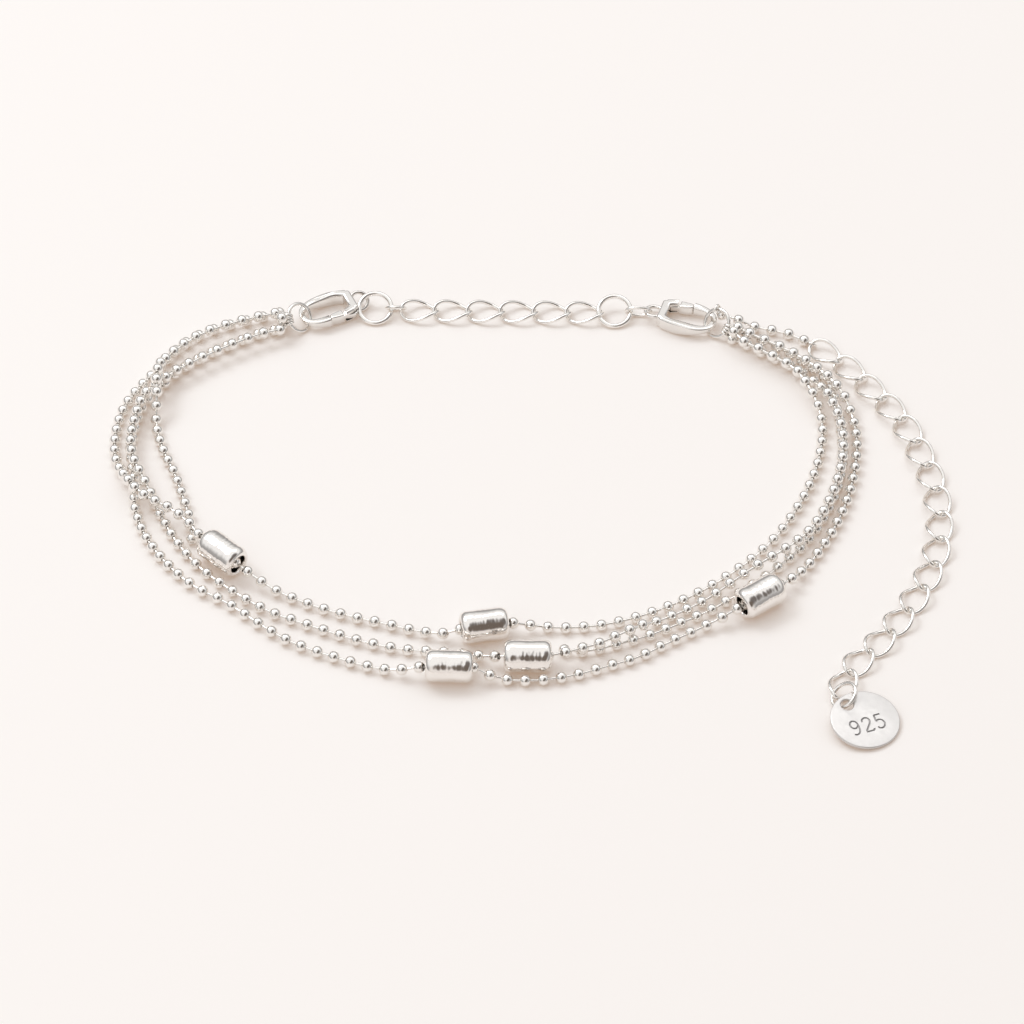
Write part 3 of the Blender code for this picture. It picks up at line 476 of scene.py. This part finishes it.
# The clasps' places follow from the pins that their levers turn on.
LEVER_PIN = Vector((CLASP_LENGTH - LEVER_PIVOT_BACK, -(CLASP_WIDTH / 2 - LEVER_PIVOT_IN), 0.0))
pins = {joint["child"].split("_")[0]: Vector(joint["pos_m"]) / MM for joint in frame["joints"]}
clasp_place = {}
strand_ring = {}
for side, clasp in CLASPS.items():
    turn = place_matrix(Vector(), clasp["heading"])
    nose = pins[side] - turn @ LEVER_PIN
    clasp_place[side] = place_matrix(nose, clasp["heading"])
    along, across, heading, tilt = clasp["ring"]
    spot = nose + turn @ Vector((along, across, 0))
    radius = (STRAND_RING_D - STRAND_RING_WIRE) / 2
    spot.z = radius * math.sin(math.radians(abs(tilt))) + STRAND_RING_WIRE / 2
    strand_ring[side] = place_matrix(spot, clasp["heading"] + heading, tilt)


# Balls: hollow beads of sheet with a dimpled hole at each end, and the rods that join them.
def ball_profile():
    hole = BALL_HOLE_D / 2
    top = math.sqrt((BALL_SHOWN_D / 2) ** 2 - hole ** 2)
    start = math.asin(2 * hole / BALL_SHOWN_D)
    rows = [(0.0, top - 0.12), (hole * 0.8, top - 0.11), (hole * 0.86, top - 0.02), (hole * 0.93, top)]
    steps = 12
    for k in range(steps + 1):
        angle = start + (math.pi - 2 * start) * k / steps
        rows.append((BALL_SHOWN_D / 2 * math.sin(angle), BALL_SHOWN_D / 2 * math.cos(angle)))
    return rows + [(r, -z) for r, z in reversed(rows[:4])]


BALL = turned(ball_profile(), BALL_SIDES)
ROD = turned([(0.0, -0.5), (ROD_D / 2, -0.5), (ROD_D / 2, 0.5), (0.0, 0.5)], 8)
EYE = wire_loop(oval(EYE_D, EYE_D, EYE_WIRE)[::3], EYE_WIRE, 8)


def towards(way):
    return way.to_track_quat("Z", "Y").to_matrix().to_4x4()


def string_of_balls(spots):
    """Stamps of the balls at the given places and of the rods between them."""
    stamps = []
    for k, spot in enumerate(spots):
        way = (spots[min(k + 1, len(spots) - 1)] - spots[max(k - 1, 0)]).normalized()
        stamps.append((BALL, Matrix.Translation(spot) @ towards(way)))
    for a, b in zip(spots, spots[1:]):
        way = b - a
        stretch = Matrix.Diagonal((1, 1, way.length - BALL_D * 0.8, 1))
        stamps.append((ROD, Matrix.Translation((a + b) / 2) @ towards(way.normalized()) @ stretch))
    return stamps


def ring_grip(ring, angle, target):
    """Where a strand ring's wire runs at an angle, the way across it, and the way from it to the target."""
    radius = (STRAND_RING_D - STRAND_RING_WIRE) / 2
    turn = math.radians(angle)
    hang = ring @ Vector((radius * math.cos(turn), radius * math.sin(turn), 0))
    across = (ring.to_3x3() @ Vector((-math.sin(turn), math.cos(turn), 0))).normalized()
    want = target - hang
    return hang, across, (want - across * want.dot(across)).normalized()


def eye_on_ring(ring, angle, target):
    """The eye that takes hold of a ring's wire at an angle, and the place of the ball next to it."""
    hang, across, way = ring_grip(ring, angle, target)
    facing = Matrix((way, across.cross(way), across)).transposed().to_4x4()
    return (EYE, Matrix.Translation(hang + way * (EYE_D / 2 - EYE_WIRE - STRAND_RING_WIRE / 2)) @ facing), \
        hang + way * (EYE_STEP + EYE_D / 2 - EYE_WIRE - STRAND_RING_WIRE / 2)


def nearest_angle(ring, target):
    radius = (STRAND_RING_D - STRAND_RING_WIRE) / 2
    return min(range(0, 360, 3), key=lambda a: ((ring @ Vector((
        radius * math.cos(math.radians(a)), radius * math.sin(math.radians(a)), 0))) - target).length)


def ball_spots(route):
    """Places of a strand's balls: at their full pitch in front and behind, pushed together at the sides."""
    fine = spline(route, FINE_STEP)
    counts = [0.0]
    for a, b in zip(fine, fine[1:]):
        x = a.x + LAYOUT_CENTRE.x
        left = min(1.0, max(0.0, (SLACK_LEFT_FROM - x) / SLACK_LEFT_OVER))
        right = min(1.0, max(0.0, (x - SLACK_RIGHT_FROM) / SLACK_RIGHT_OVER))
        pitch = BALL_PITCH + left * (SLACK_PITCH_LEFT - BALL_PITCH) + right * (SLACK_PITCH_RIGHT - BALL_PITCH)
        counts.append(counts[-1] + (b - a).length / pitch)
    number = round(counts[-1])
    spots = []
    j = 0
    for n in range(number + 1):
        want = counts[-1] * n / number
        while j < len(counts) - 2 and counts[j + 1] < want:
            j += 1
        share = (want - counts[j]) / (counts[j + 1] - counts[j])
        spots.append(fine[j].lerp(fine[j + 1], min(1.0, max(0.0, share))))
    return spots


strand_route = {name: [Vector(p) - LAYOUT_CENTRE for p in route] for name, route in ROUTES.items()}
eye_of = {}
for side, end in (("left", 0), ("right", -1)):
    joined = [name for name in ROUTES if not (name == "strand_4_right" and side == "left")
              and not (name == "strand_4_left" and side == "right")]
    joined.sort(key=lambda name: strand_route[name][end].z)
    middle = sum((strand_route[name][end] for name in joined), Vector()) / len(joined)
    base = nearest_angle(strand_ring[side], middle)
    low, high = (strand_ring[side] @ Vector((math.cos(math.radians(angle)), math.sin(math.radians(angle)), 0))
                 for angle in (base - 20, base + 20))
    up = 1 if high.z > low.z else -1
    for k, name in enumerate(joined):
        angle = base + up * (k - (len(joined) - 1) / 2) * EYE_SPREAD
        eye_of[name, side] = eye_on_ring(strand_ring[side], angle, strand_route[name][end])

for name, route in strand_route.items():
    stamps = []
    if (name, "left") in eye_of:
        stamp, first = eye_of[name, "left"]
        stamps.append(stamp)
        route = [first] + route
    if (name, "right") in eye_of:
        stamp, last = eye_of[name, "right"]
        stamps.append(stamp)
        route = route + [last]
    spots = ball_spots(route)
    for spot in spots:
        spot.z = max(spot.z, BALL_SHOWN_D / 2)
    stamps += string_of_balls(spots)
    mesh = stamped(name, stamps)
    shown(f"{name}_balls", mesh, POLISHED, "polished_silver", "bracelet", name)

# The short ball chain at the start of the tail.
tail_route = [Vector(p) - LAYOUT_CENTRE for p in TAIL_ROUTE]
hang, across, first_way = ring_grip(strand_ring["right"], TAIL_RING_ANGLE, tail_route[0])
fine = spline([hang + first_way * EYE_STEP] + tail_route, FINE_STEP)
spots = []
here = 0
for _ in range(TAIL_BALL_COUNT):
    spots.append(fine[here])
    ahead = here
    while (fine[ahead] - fine[here]).length < TAIL_BALL_PITCH:
        ahead += 1
    here = ahead
last_way = (spots[-1] - spots[-2]).normalized()
last_turn = Matrix.Rotation(math.radians(EYE_TILT), 3, last_way)
last_side = last_turn @ Vector((0, 0, 1)).cross(last_way).normalized()
stamps = string_of_balls(spots)
for spot, way, normal in ((spots[0], -first_way, across), (spots[-1], last_way, last_side.cross(last_way))):
    facing = Matrix((way, normal.cross(way), normal)).transposed().to_4x4()
    stamps.append((EYE, Matrix.Translation(spot + way * EYE_STEP) @ facing))
mesh = stamped("tail_balls", stamps)
shown("tail_balls", mesh, POLISHED, "polished_silver", "bracelet", "tail_ball_chain")


# Barrel beads: pressed from sheet, a little uneven, with rounded shoulders and a turned-in hole.
def bead_profile():
    r, h, bore = BEAD_D / 2, BEAD_LENGTH / 2, BEAD_HOLE_D / 2
    shoulder = r - bore - BEAD_LIP
    rows = [(bore, 0.0), (bore, h * 0.5), (bore, h - 0.18), (bore + 0.03, h - 0.06), (bore + BEAD_LIP, h)]
    for k in range(1, 13):
        angle = math.pi / 2 * k / 12
        radius = bore + BEAD_LIP + shoulder * math.sin(angle) ** 0.9
        rows.append((radius, h - BEAD_SHOULDER * (1 - math.cos(angle))))
    rows += [(r, (h - BEAD_SHOULDER) * (1 - k / 20)) for k in range(1, 21)]
    return rows + [(a, -b) for a, b in reversed(rows[:-1])]


BEAD = turned(bead_profile(), BEAD_SIDES)
for number, (name, x, y, heading) in enumerate(BEADS):
    place = place_matrix(Vector((x, y, BEAD_D / 2)) - LAYOUT_CENTRE, heading)
    place = place @ Matrix.Rotation(math.pi / 2, 4, "Y")
    points = []
    for p in BEAD[0]:
        out = Vector((p.x, p.y, 0))
        bump = noise.noise(Vector((p.x, p.y, p.z)) * 0.9 + Vector((number * 7.3, 0, 0)))
        share = max(0.0, (out.length - BEAD_HOLE_D / 2) / (BEAD_D / 2 - BEAD_HOLE_D / 2))
        crinkle = noise.noise(Vector((p.x * 1.5, p.y * 1.5, p.z * 4.5)) + Vector((0, number * 5.1, 0)))
        points.append(p - out.normalized() * share * (BEAD_DENT * (0.5 + bump) - BEAD_CRINKLE * crinkle))
    mesh = stamped(name, [((points, BEAD[1]), place)])
    shown(f"{name}_barrel", mesh, HAMMERED, "polished_silver", "bracelet", name)


def circle(radius, count, middle=0.0):
    """Points of a circle whose middle may lie off along X."""
    turns = [2 * math.pi * k / count for k in range(count)]
    return [(middle + radius * math.cos(turn), radius * math.sin(turn)) for turn in turns]


def plate(name, outlines, thickness, edge, steps):
    """A flat plate with rounded edges from closed outlines, in millimetres, as a mesh."""
    data = bpy.data.curves.new(name, "CURVE")
    data.dimensions = "2D"
    data.fill_mode = "BOTH"
    for outline in outlines:
        line = data.splines.new("POLY")
        line.points.add(len(outline) - 1)
        for spot, p in zip(line.points, outline):
            spot.co = (p[0] * MM, p[1] * MM, 0.0, 1.0)
        line.use_cyclic_u = True
    data.bevel_depth = edge * MM
    data.bevel_resolution = steps
    data.offset = -edge * MM
    data.extrude = (thickness / 2 - edge) * MM
    item = bpy.data.objects.new(name, data)
    bpy.context.scene.collection.objects.link(item)
    graph = bpy.context.evaluated_depsgraph_get()
    mesh = bpy.data.meshes.new_from_object(item.evaluated_get(graph))
    bpy.data.objects.remove(item)
    return closed_up(mesh)


def cut(mesh, other, operation):
    """The mesh after an exact boolean with another mesh."""
    first = bpy.data.objects.new("first", mesh)
    second = bpy.data.objects.new("second", other)
    for item in (first, second):
        bpy.context.scene.collection.objects.link(item)
    mod = first.modifiers.new("cut", "BOOLEAN")
    mod.operation = operation
    mod.solver = "EXACT"
    mod.material_mode = "TRANSFER"
    mod.object = second
    graph = bpy.context.evaluated_depsgraph_get()
    made = bpy.data.meshes.new_from_object(first.evaluated_get(graph))
    bpy.data.objects.remove(first)
    bpy.data.objects.remove(second)
    return made


def solid(points_and_faces):
    mesh = bpy.data.meshes.new("solid")
    points, faces = points_and_faces
    mesh.from_pydata([p * MM for p in points], [], [list(f) for f in faces])
    return closed_up(mesh)


def block(low, high):
    bm = bmesh.new()
    bmesh.ops.create_cube(bm, size=MM)
    bmesh.ops.scale(bm, vec=[b - a for a, b in zip(low, high)], verts=bm.verts)
    bmesh.ops.translate(bm, vec=[(a + b) / 2 * MM for a, b in zip(low, high)], verts=bm.verts)
    mesh = bpy.data.meshes.new("block")
    bm.to_mesh(mesh)
    bm.free()
    return mesh


def clasp_half_width(x):
    nose = 0.5 * CLASP_LENGTH
    if x < nose:
        return CLASP_WIDTH / 2 * (1 - (1 - x / nose) ** 2.3) ** (1 / 2.3)
    back = (x - nose) / (CLASP_LENGTH - nose)
    return CLASP_WIDTH / 2 * (1 - 0.3 * back ** 2)


def clasp_outlines():
    """Outer edge of the clasp's body, and the edge of the space inside it."""
    count = 44
    upper = []
    for k in range(count + 1):
        x = CLASP_LENGTH * (1 - math.cos(math.pi / 2 * k / count))
        upper.append((x, clasp_half_width(x)))
    corner = 0.3
    end_half = upper[-1][1]
    upper = [p for p in upper if p[0] < CLASP_LENGTH - corner]
    for k in range(9):
        angle = math.pi / 2 * k / 8
        upper.append((CLASP_LENGTH - corner + corner * math.sin(angle),
                      end_half - corner + corner * math.cos(angle)))
    outer = upper + [(x, -y) for x, y in reversed(upper[1:])]
    start, end = CLASP_NOSE_BAR, CLASP_LENGTH - CLASP_BASE
    inner_half = CLASP_WIDTH / 2 - CLASP_ARM
    inner = []
    for k in range(count + 1):
        s = (1 - math.cos(math.pi * k / count)) / 2
        bow = 1 - (1 - min(1.0, s / 0.4)) ** 2.6
        tail = 1 - max(0.0, (s - 0.75) / 0.25) ** 2 * 0.3
        inner.append((start + s * (end - start), inner_half * bow ** (1 / 2.6) * tail))
    inner = inner + [(x, -y) for x, y in reversed(inner[1:])]
    return outer, inner


def taper_nose(mesh):
    full = 0.62 * CLASP_LENGTH
    least = CLASP_NOSE_THICKNESS / CLASP_THICKNESS
    for v in mesh.vertices:
        share = min(1.0, max(0.0, v.co.x / MM / full))
        bend = share ** 1.3
        v.co.z = v.co.z * (least + (1 - least) * bend) + CLASP_NOSE_LIFT * MM * (1 - bend)


# Outline of the lever's grip, in shares of the lever's length and half its width.
GRIP = ((-0.46, 1.12), (-0.6, 0.98), (-0.8, 0.78), (-0.92, 0.62), (-0.99, 0.4), (-1.02, 0.1),
        (-1.02, -0.9), (-1.0, -1.15), (-0.93, -1.32), (-0.8, -1.45), (-0.62, -1.5), (-0.46, -1.42))
outer, inner = clasp_outlines()
half = LEVER_WIDTH / 2
lever_tip = LEVER_PIN.x - LEVER_LENGTH
for side, clasp in CLASPS.items():
    place = clasp_place[side]
    body = plate("clasp", (outer, inner), CLASP_THICKNESS, CLASP_ROUND, 4)
    taper_nose(body)
    gate = block((lever_tip - LEVER_TIP_GAP, -CLASP_WIDTH, -CLASP_THICKNESS),
                 (LEVER_PIN.x - half - 2 * LEVER_TIP_GAP - 0.3, -(CLASP_WIDTH / 2 - CLASP_ARM - 0.3),
                  CLASP_THICKNESS))
    slot = block((lever_tip, -CLASP_WIDTH, -LEVER_SLOT / 2),
                 (CLASP_LENGTH + 1, -(CLASP_WIDTH / 2 - CLASP_ARM - 0.45), LEVER_SLOT / 2))
    eye_points = oval(CLASP_EYE_D, CLASP_EYE_D, CLASP_EYE_WIRE)
    eye = solid(wire_loop(eye_points, CLASP_EYE_WIRE, 16))
    reach = CLASP_LENGTH + CLASP_EYE_D / 2 - CLASP_EYE_WIRE * 1.5
    lean = Matrix.Rotation(math.radians(clasp["eye_tilt"]), 4, "X")
    eye.transform(Matrix.Translation((reach * MM, 0, 0)) @ lean)
    pin_rows = [(0.0, -0.62), (LEVER_PIN_D / 2 - 0.05, -0.62), (LEVER_PIN_D / 2, -0.58),
                (LEVER_PIN_D / 2, 0.58), (LEVER_PIN_D / 2 - 0.05, 0.62), (0.0, 0.62)]
    pin = solid(turned(pin_rows, 24))
    pin.transform(Matrix.Translation(LEVER_PIN * MM))
    body = cut(body, gate, "DIFFERENCE")
    body = cut(body, slot, "DIFFERENCE")
    body = cut(body, eye, "UNION")
    body = cut(body, pin, "UNION")
    smooth(body, CLASP_SHARP)
    body.materials.clear()
    moved(body, place)
    shown(f"clasp_{side}_shell", body, CLASP_SILVER, "polished_silver", "bracelet", f"clasp_{side}_body")

    eye_outline = []
    for k in range(17):
        angle = -math.pi / 2 + math.pi * k / 16
        eye_outline.append((LEVER_EYE_D / 2 * math.cos(angle), LEVER_EYE_D / 2 * math.sin(angle)))
    tongue = eye_outline + [(-0.3 * LEVER_LENGTH, half * 0.9), (-0.7 * LEVER_LENGTH, half * 0.4),
                            (-0.7 * LEVER_LENGTH, -half * 0.8), (-0.3 * LEVER_LENGTH, -half * 1.1)]
    hole = circle(LEVER_PIN_D / 2 + LEVER_PIN_GAP, 24)
    lever = plate("lever", (tongue, hole), LEVER_SLOT - 2 * LEVER_SIDE_GAP, 0.04, 2)
    grip_outline = [(x * LEVER_LENGTH, y * half) for x, y in GRIP]
    grip = plate("grip", (grip_outline,), 0.75 * CLASP_THICKNESS, 0.12, 3)
    lever = cut(lever, grip, "UNION")
    smooth(lever, CLASP_SHARP)
    lever.materials.clear()
    moved(lever, place @ Matrix.Translation(LEVER_PIN))
    shown(f"clasp_{side}_gate", lever, CLASP_SILVER, "polished_silver", f"{side}_lever",
          f"clasp_{side}_lever")


# Strokes of the fineness number, one unit high.
NINE = (((0.06, 0.06), (0.2, 0.0), (0.36, 0.04), (0.48, 0.2),
         (0.53, 0.45), (0.53, 0.72), (0.46, 0.92), (0.34, 0.99)),
        ((0.4, 0.97), (0.27, 1.0), (0.13, 0.92), (0.06, 0.72),
         (0.13, 0.53), (0.3, 0.45), (0.42, 0.5), (0.5, 0.6)))
TWO = (((0.05, 0.74), (0.1, 0.9), (0.28, 1.0), (0.47, 0.92),
        (0.53, 0.74), (0.45, 0.54), (0.25, 0.3), (0.06, 0.06)),
       ((0.03, 0.0), (0.56, 0.0)), ((0.56, 0.0), (0.56, 0.12)))
FIVE = (((0.1, 1.0), (0.5, 1.0)), ((0.12, 1.0), (0.08, 0.55)),
        ((0.08, 0.55), (0.25, 0.63), (0.44, 0.56), (0.54, 0.33),
         (0.45, 0.1), (0.27, 0.0), (0.1, 0.05), (0.04, 0.16)))
TEXT_HEIGHT = 1.5
TEXT_STEP = 1.2
TEXT_HEADING = 66.0
TEXT_MIDDLE = (0.53, -0.28)
STROKE_WIDTH = 0.18
STROKE_LIFT = 0.015


def round_stroke(path, diameter):
    """Points and faces of a round groove cutter along an open path, in millimetres."""
    sides = 8
    verts, faces = [], []
    for k, spot in enumerate(path):
        way = (path[min(k + 1, len(path) - 1)] - path[max(k - 1, 0)]).normalized()
        side = Vector((-way.y, way.x, 0))
        for n in range(sides):
            angle = 2 * math.pi * n / sides
            verts.append(spot + (side * math.cos(angle) + Vector((0, 0, math.sin(angle)))) * diameter / 2)
    for k in range(len(path) - 1):
        for n in range(sides):
            a, b = k * sides + n, k * sides + (n + 1) % sides
            faces.append((a, b, b + sides, a + sides))
    faces.append(tuple(range(sides)))
    faces.append(tuple(range(len(verts) - 1, len(verts) - 1 - sides, -1)))
    return verts, faces


# The tag: a satin disc with rounded rim and the fineness number pressed into it.
from_edge = TAG_HOLE_RIM + TAG_HOLE_D / 2
hole_out = TAG_D / 2 - from_edge
ring_z = (TAG_RING_D - TAG_RING_WIRE) / 2 * math.sin(math.radians(TAG_RING_TILT)) + TAG_RING_WIRE / 2
lean = math.asin((ring_z - TAG_THICKNESS / 2) / (TAG_D / 2 + hole_out))
tag_low, tag_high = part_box("tag")
tag_middle = (tag_low + tag_high) / 2 / MM
tag_place = place_matrix(tag_middle, TAG_HEADING) @ Matrix.Rotation(lean, 4, "Y")
disc = circle(TAG_D / 2, 120)
hole = circle(TAG_HOLE_D / 2, 48, -hole_out)
tag = plate("tag", (disc, hole), TAG_THICKNESS, TAG_RIM_ROUND, 4)
tag.materials.clear()
tag.materials.append(SATIN)
along_text = Vector((math.cos(math.radians(TEXT_HEADING)), math.sin(math.radians(TEXT_HEADING)), 0))
up_text = Vector((-along_text.y, along_text.x, 0))
for number, strokes in enumerate((NINE, TWO, FIVE)):
    corner = Vector((*TEXT_MIDDLE, 0)) + along_text * ((number - 1) * TEXT_STEP - 0.3 * TEXT_HEIGHT)
    for points in strokes:
        path = spline([(x, y, 0.0) for x, y in points], 0.04) if len(points) > 3 else [
            Vector((x, y, 0.0)) for x, y in points]
        path = [corner + along_text * p.x * TEXT_HEIGHT + up_text * (p.y - 0.5) * TEXT_HEIGHT for p in path]
        path = [p + Vector((0, 0, TAG_THICKNESS / 2 + STROKE_LIFT)) for p in path]
        groove = solid(round_stroke(path, STROKE_WIDTH))
        # The groove's cut faces take the dark silver, painted shade in the recess.
        groove.materials.append(GROOVE_PAINTED_SHADE)
        tag = cut(tag, groove, "DIFFERENCE")
smooth(tag, 30)
moved(tag, tag_place)
shown("tag_disc", tag, SATIN, "satin_silver", "bracelet", "tag")

# A plain pale floor, soft lights, and the camera at the photograph's angle.
FLOOR_REACH = 3.0
floor_mesh = bpy.data.meshes.new("floor")
corners = [(x * FLOOR_REACH, y * FLOOR_REACH, 0) for x, y in ((-1, -1), (1, -1), (1, 1), (-1, 1))]
floor_mesh.from_pydata(corners, [], [(0, 1, 2, 3)])
floor = bpy.data.objects.new("floor", floor_mesh)
bpy.context.scene.collection.objects.link(floor)
floor_paint = bpy.data.materials.new("pale_floor_painted_glow")
floor_paint.use_nodes = True
paint = floor_paint.node_tree.nodes["Principled BSDF"]
paint.inputs["Base Color"].default_value = (0.779, 0.823, 0.852, 1.0)
# The floor glows warm: painted light that lightens and warms the shadows on it, with its base colour made
# cooler to keep the lit floor's tone.
paint.inputs["Emission Color"].default_value = (1.0, 0.6, 0.34, 1.0)
paint.inputs["Emission Strength"].default_value = 0.19
paint.inputs["Roughness"].default_value = 0.45
floor_mesh.materials.append(floor_paint)


def soft_light(name, spot, target, size, power, colour=(1.0, 1.0, 1.0)):
    data = bpy.data.lights.new(name, "AREA")
    data.shape = "RECTANGLE"
    data.size, data.size_y = size
    data.energy = power
    data.color = colour
    lamp = bpy.data.objects.new(name, data)
    lamp.location = spot
    lamp.rotation_euler = (Vector(spot) - Vector(target)).to_track_quat("Z", "Y").to_euler()
    bpy.context.scene.collection.objects.link(lamp)
    return lamp


soft_light("key", (-0.32, 0.24, 0.5), (0, 0, 0), (0.30, 0.22), 1.0)
soft_light("top", (0.05, 0.35, 0.62), (0, 0, 0), (0.5, 0.2), 0.35)

world = bpy.data.worlds.new("studio")
world.use_nodes = True
bpy.context.scene.world = world
sky = Finish(world.node_tree)
way = sky.node("ShaderNodeTexCoord", out=0)
height = sky.node("ShaderNodeSeparateXYZ", None, {0: way}, out=2)
dome = sky.node("ShaderNodeValToRGB", {"stops": (
    (0.0, (0.82, 0.78, 0.75, 1.0)), (0.5, (0.36, 0.35, 0.345, 1.0)), (0.64, (0.40, 0.39, 0.385, 1.0)),
    (0.8, (0.94, 0.935, 0.93, 1.0)), (1.0, (1.0, 0.99, 0.98, 1.0)))}, {0: height * 0.5 + 0.5})


def sky_patch(base, turn, elevation, inner, outer, colour):
    """The sky with a soft round patch, at a turn to the right of the camera and an elevation, in degrees."""
    turn, elevation = math.radians(turn), math.radians(elevation)
    level = math.cos(elevation)
    toward = (math.sin(turn) * level, -math.cos(turn) * level, math.sin(elevation))
    near = sky.node("ShaderNodeVectorMath", {"operation": "DOT_PRODUCT"}, {0: way, 1: toward}, out=1)
    edge, full = (math.cos(math.radians(angle)) for angle in (outer, inner))
    share = sky.node("ShaderNodeMapRange", {"interpolation_type": "SMOOTHSTEP"},
                     {"Value": near, "From Min": edge, "From Max": full})
    return sky.mix(share, base, (*colour, 1.0))


dome = sky_patch(dome, 0, 6, 24, 50, (0.86, 0.81, 0.78))
dome = sky_patch(dome, 50, 50, 12, 32, (0.17, 0.15, 0.14))
dome = sky_patch(dome, 14, 34, 13, 27, (0.16, 0.13, 0.11))
background = world.node_tree.nodes["Background"]
world.node_tree.links.new(dome.socket, background.inputs["Color"])
background.inputs["Strength"].default_value = 1.0

AIM = -LAYOUT_CENTRE * MM
ELEVATION = math.radians(46)
DISTANCE = 0.68625
camera_data = bpy.data.cameras.new("camera")
camera_data.sensor_width = 36.0
camera_data.lens = 263.7
camera_data.clip_start = 0.01
camera_data.clip_end = 20.0
camera = bpy.data.objects.new("camera", camera_data)
camera.location = AIM + Vector((0.0, -math.cos(ELEVATION), math.sin(ELEVATION))) * DISTANCE
camera.rotation_euler = (camera.location - AIM).to_track_quat("Z", "Y").to_euler()
bpy.context.scene.collection.objects.link(camera)
bpy.context.scene.camera = camera
bpy.context.scene.view_settings.view_transform = "Standard"
